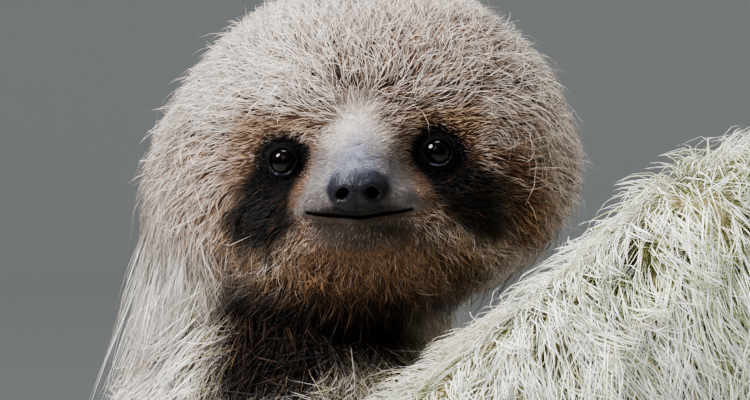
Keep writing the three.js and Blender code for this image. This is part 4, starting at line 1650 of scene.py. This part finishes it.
# a claw starts some degrees inside the finger and runs in to a blunt tip, closer and closer to the bark
clawPlan = {"points": 14, "inset": 9, "tip": 0.7, "thinning": 1.15, "off": (2.2, 0.9), "fill": 0.94,
            "lastPoint": 0.3}


def makeClaw(side, kind, index, material):
    grip, paw, plan = joints[side][kind], paws[kind], clawPlan
    z = pawPlans[side, kind][2][index][0]
    inset = math.copysign(plan["inset"], grip["from"])
    offRoot, offTip = plan["off"]
    deselectAll()
    bpy.ops.curve.primitive_nurbs_path_add()
    path = context.object
    path.name = "claw_{}_{}_{}_fine".format(kind, side, index + 1)
    spline = path.data.splines[0]
    count = plan["points"]
    spline.points.add(count - len(spline.points))
    for i, point in enumerate(spline.points):
        share = i / (count - 1)
        angle = grip["end"] + inset + (grip["tip"] - grip["end"] - inset) * share
        half = paw["clawRoot"] + (plan["tip"] - paw["clawRoot"]) * share ** plan["thinning"]
        off = half + offRoot + (offTip - offRoot) * share
        point.co = (*(beside(z, angle, off) * mm), 1)
        point.radius = half * plan["fill"] * (1 if i < count - 1 else plan["lastPoint"])
    spline.use_endpoint_u = True
    spline.order_u = 3
    path.data.bevel_depth = mm
    path.data.bevel_resolution = 5
    path.data.use_fill_caps = True
    path.data.resolution_u = 4
    bpy.ops.object.convert(target="MESH")
    claw = context.object
    bpy.ops.object.mode_set(mode="EDIT")
    bpy.ops.mesh.select_all(action="SELECT")
    bpy.ops.mesh.remove_doubles(threshold=0.00002)
    bpy.ops.mesh.normals_make_consistent(inside=False)
    bpy.ops.object.mode_set(mode="OBJECT")
    bpy.ops.object.transform_apply(location=True, rotation=True, scale=True)
    p = pointsOf(claw)
    angle = np.degrees(np.arctan2(p[:, 1], p[:, 0] - log["x"]))
    share = np.abs(angle - grip["end"]) / abs(grip["end"] - grip["tip"])
    tone = lay(np.tile(paint(120, 92, 58), (len(p), 1)), smoothStep(0.1, 0.9, share), paint(196, 172, 128))
    bpy.ops.object.shade_smooth()
    storeColour(claw, "tint", tone)
    claw.data.materials.append(material)
    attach(claw, "root")
    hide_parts("claw_{}_{}_{}".format(kind, side, index + 1))


# ---- the log

logPlan = {"sides": 96, "rings": 150, "furrow": 2.6, "endRings": 9}


def logMesh(plan):
    # a cylinder cut into rings, with finer rings on its two ends
    deselectAll()
    bpy.ops.mesh.primitive_cylinder_add(vertices=plan["sides"], radius=1, depth=2, end_fill_type="NGON")
    trunk = context.object
    trunk.name = "log_fine"
    bpy.ops.object.mode_set(mode="EDIT")
    for i in range(1, plan["rings"]):
        cut = -1 + 2 * i / plan["rings"]
        bpy.ops.mesh.select_all(action="SELECT")
        bpy.ops.mesh.bisect(plane_co=(0, 0, cut), plane_no=(0, 0, 1))
    bpy.ops.object.mode_set(mode="OBJECT")
    for end in (-1, 1):
        polygons = trunk.data.polygons
        editFaces(trunk, [len(f.vertices) > 4 and f.center.z * end > 0.9 for f in polygons])
        for i in range(plan["endRings"]):
            bpy.ops.mesh.inset(thickness=0.1, depth=0)
        bpy.ops.mesh.poke()
        bpy.ops.object.mode_set(mode="OBJECT")
    return trunk


def makeLog(material):
    trunk = logMesh(logPlan)
    height = log["top"] - log["bottom"]
    p = pointsOf(trunk) * mm
    turn = np.arctan2(p[:, 1], p[:, 0])
    out = np.hypot(p[:, 0], p[:, 1])
    z = log["bottom"] + (p[:, 2] + 1) / 2 * height
    taper = 1.04 - 0.1 * ((z - log["bottom"]) / height)
    radius = log["radius"] * (taper + 0.025 * np.sin(3 * turn + z / 90))
    around = np.stack([np.cos(turn) * 40, np.sin(turn) * 40, z * 0.22], axis=1)
    plates = np.abs(ripple(around, 16, 31) + 0.4 * ripple(around, 7, 32))
    furrow = smoothStep(0.0, 0.34, plates)
    knots = 0.5 * ripple(np.stack([around[:, 0], around[:, 1], z], axis=1), 60, 33)
    bark = -logPlan["furrow"] * (1 - furrow) + knots - 0.6 + 0.3 * ripple(around * vec(1, 1, 6), 5, 34)
    rim = smoothStep(0.93, 1.0, out)
    radius = radius * out + np.minimum(bark, 0.1) * rim
    # sawn ends are nearly flat, a little rough
    atEnd = np.abs(np.abs(p[:, 2]) - 1) < 1e-4
    grain = ripple(np.stack([p[:, 0] * 40, p[:, 1] * 40, z], axis=1), 9, 35)
    inward = -np.sign(p[:, 2]) * (0.25 + 0.25 * grain)
    z = z + np.where(atEnd, inward + np.sign(-p[:, 2]) * rim * 0.9, 0)
    axisX = log["x"] + log["sway"] * np.sin((z - log["bottom"]) / 190)
    where = np.stack([axisX + radius * np.cos(turn), radius * np.sin(turn), z], axis=1)
    setPoints(trunk, where)
    tone = lay(np.tile(paint(70, 58, 44), (len(p), 1)), furrow, paint(128, 116, 96))
    mossy = smoothStep(0.1, 0.6, ripple(where, 55, 36)) * 0.45
    tone = lay(tone, mossy, paint(104, 112, 66))
    years = 0.5 + 0.5 * np.sin(out * 46 + 1.5 * ripple(where, 50, 37))
    wood = lay(np.tile(paint(176, 142, 98), (len(p), 1)), years, paint(206, 176, 130))
    tone = lay(tone, atEnd * (1 - smoothStep(0.88, 0.96, out)), wood)
    bpy.ops.object.shade_smooth_by_angle(angle=math.radians(50))
    storeColour(trunk, "tint", tone)
    trunk.data.materials.append(material)
    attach(trunk, "root")
    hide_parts("perch_log")
    print("log:", len(trunk.data.polygons), "faces")


def dressStand(base, steel):
    for name, material in (("stand_base", base), ("stand_rod_1", steel), ("stand_rod_2", steel)):
        node = frame["nodes"][name]
        piece = node if isinstance(node, bpy.types.Object) else bpy.data.objects[name]
        if not piece.material_slots:
            piece.data.materials.append(material)
        for slot in piece.material_slots:
            slot.material = material


# ---- all of it

setCamera(cameraSetup)
setStage(stageSetup)
skin = makeSkin(makeSkinMaterial())
makeCoat(skin, makeHairMaterial())
wetEye = makeEyeMaterial()
makeEye(-1, "eyeball_right", wetEye)
makeEye(1, "eyeball_left", wetEye)
claw = makeClawMaterial()
for side in joints:
    for kind in paws:
        for index in range(paws[kind]["claws"]):
            makeClaw(side, kind, index, claw)
makeLog(makeBarkMaterial())
dressStand(makeBaseMaterial(), makeSteelMaterial())
print("pieces done")
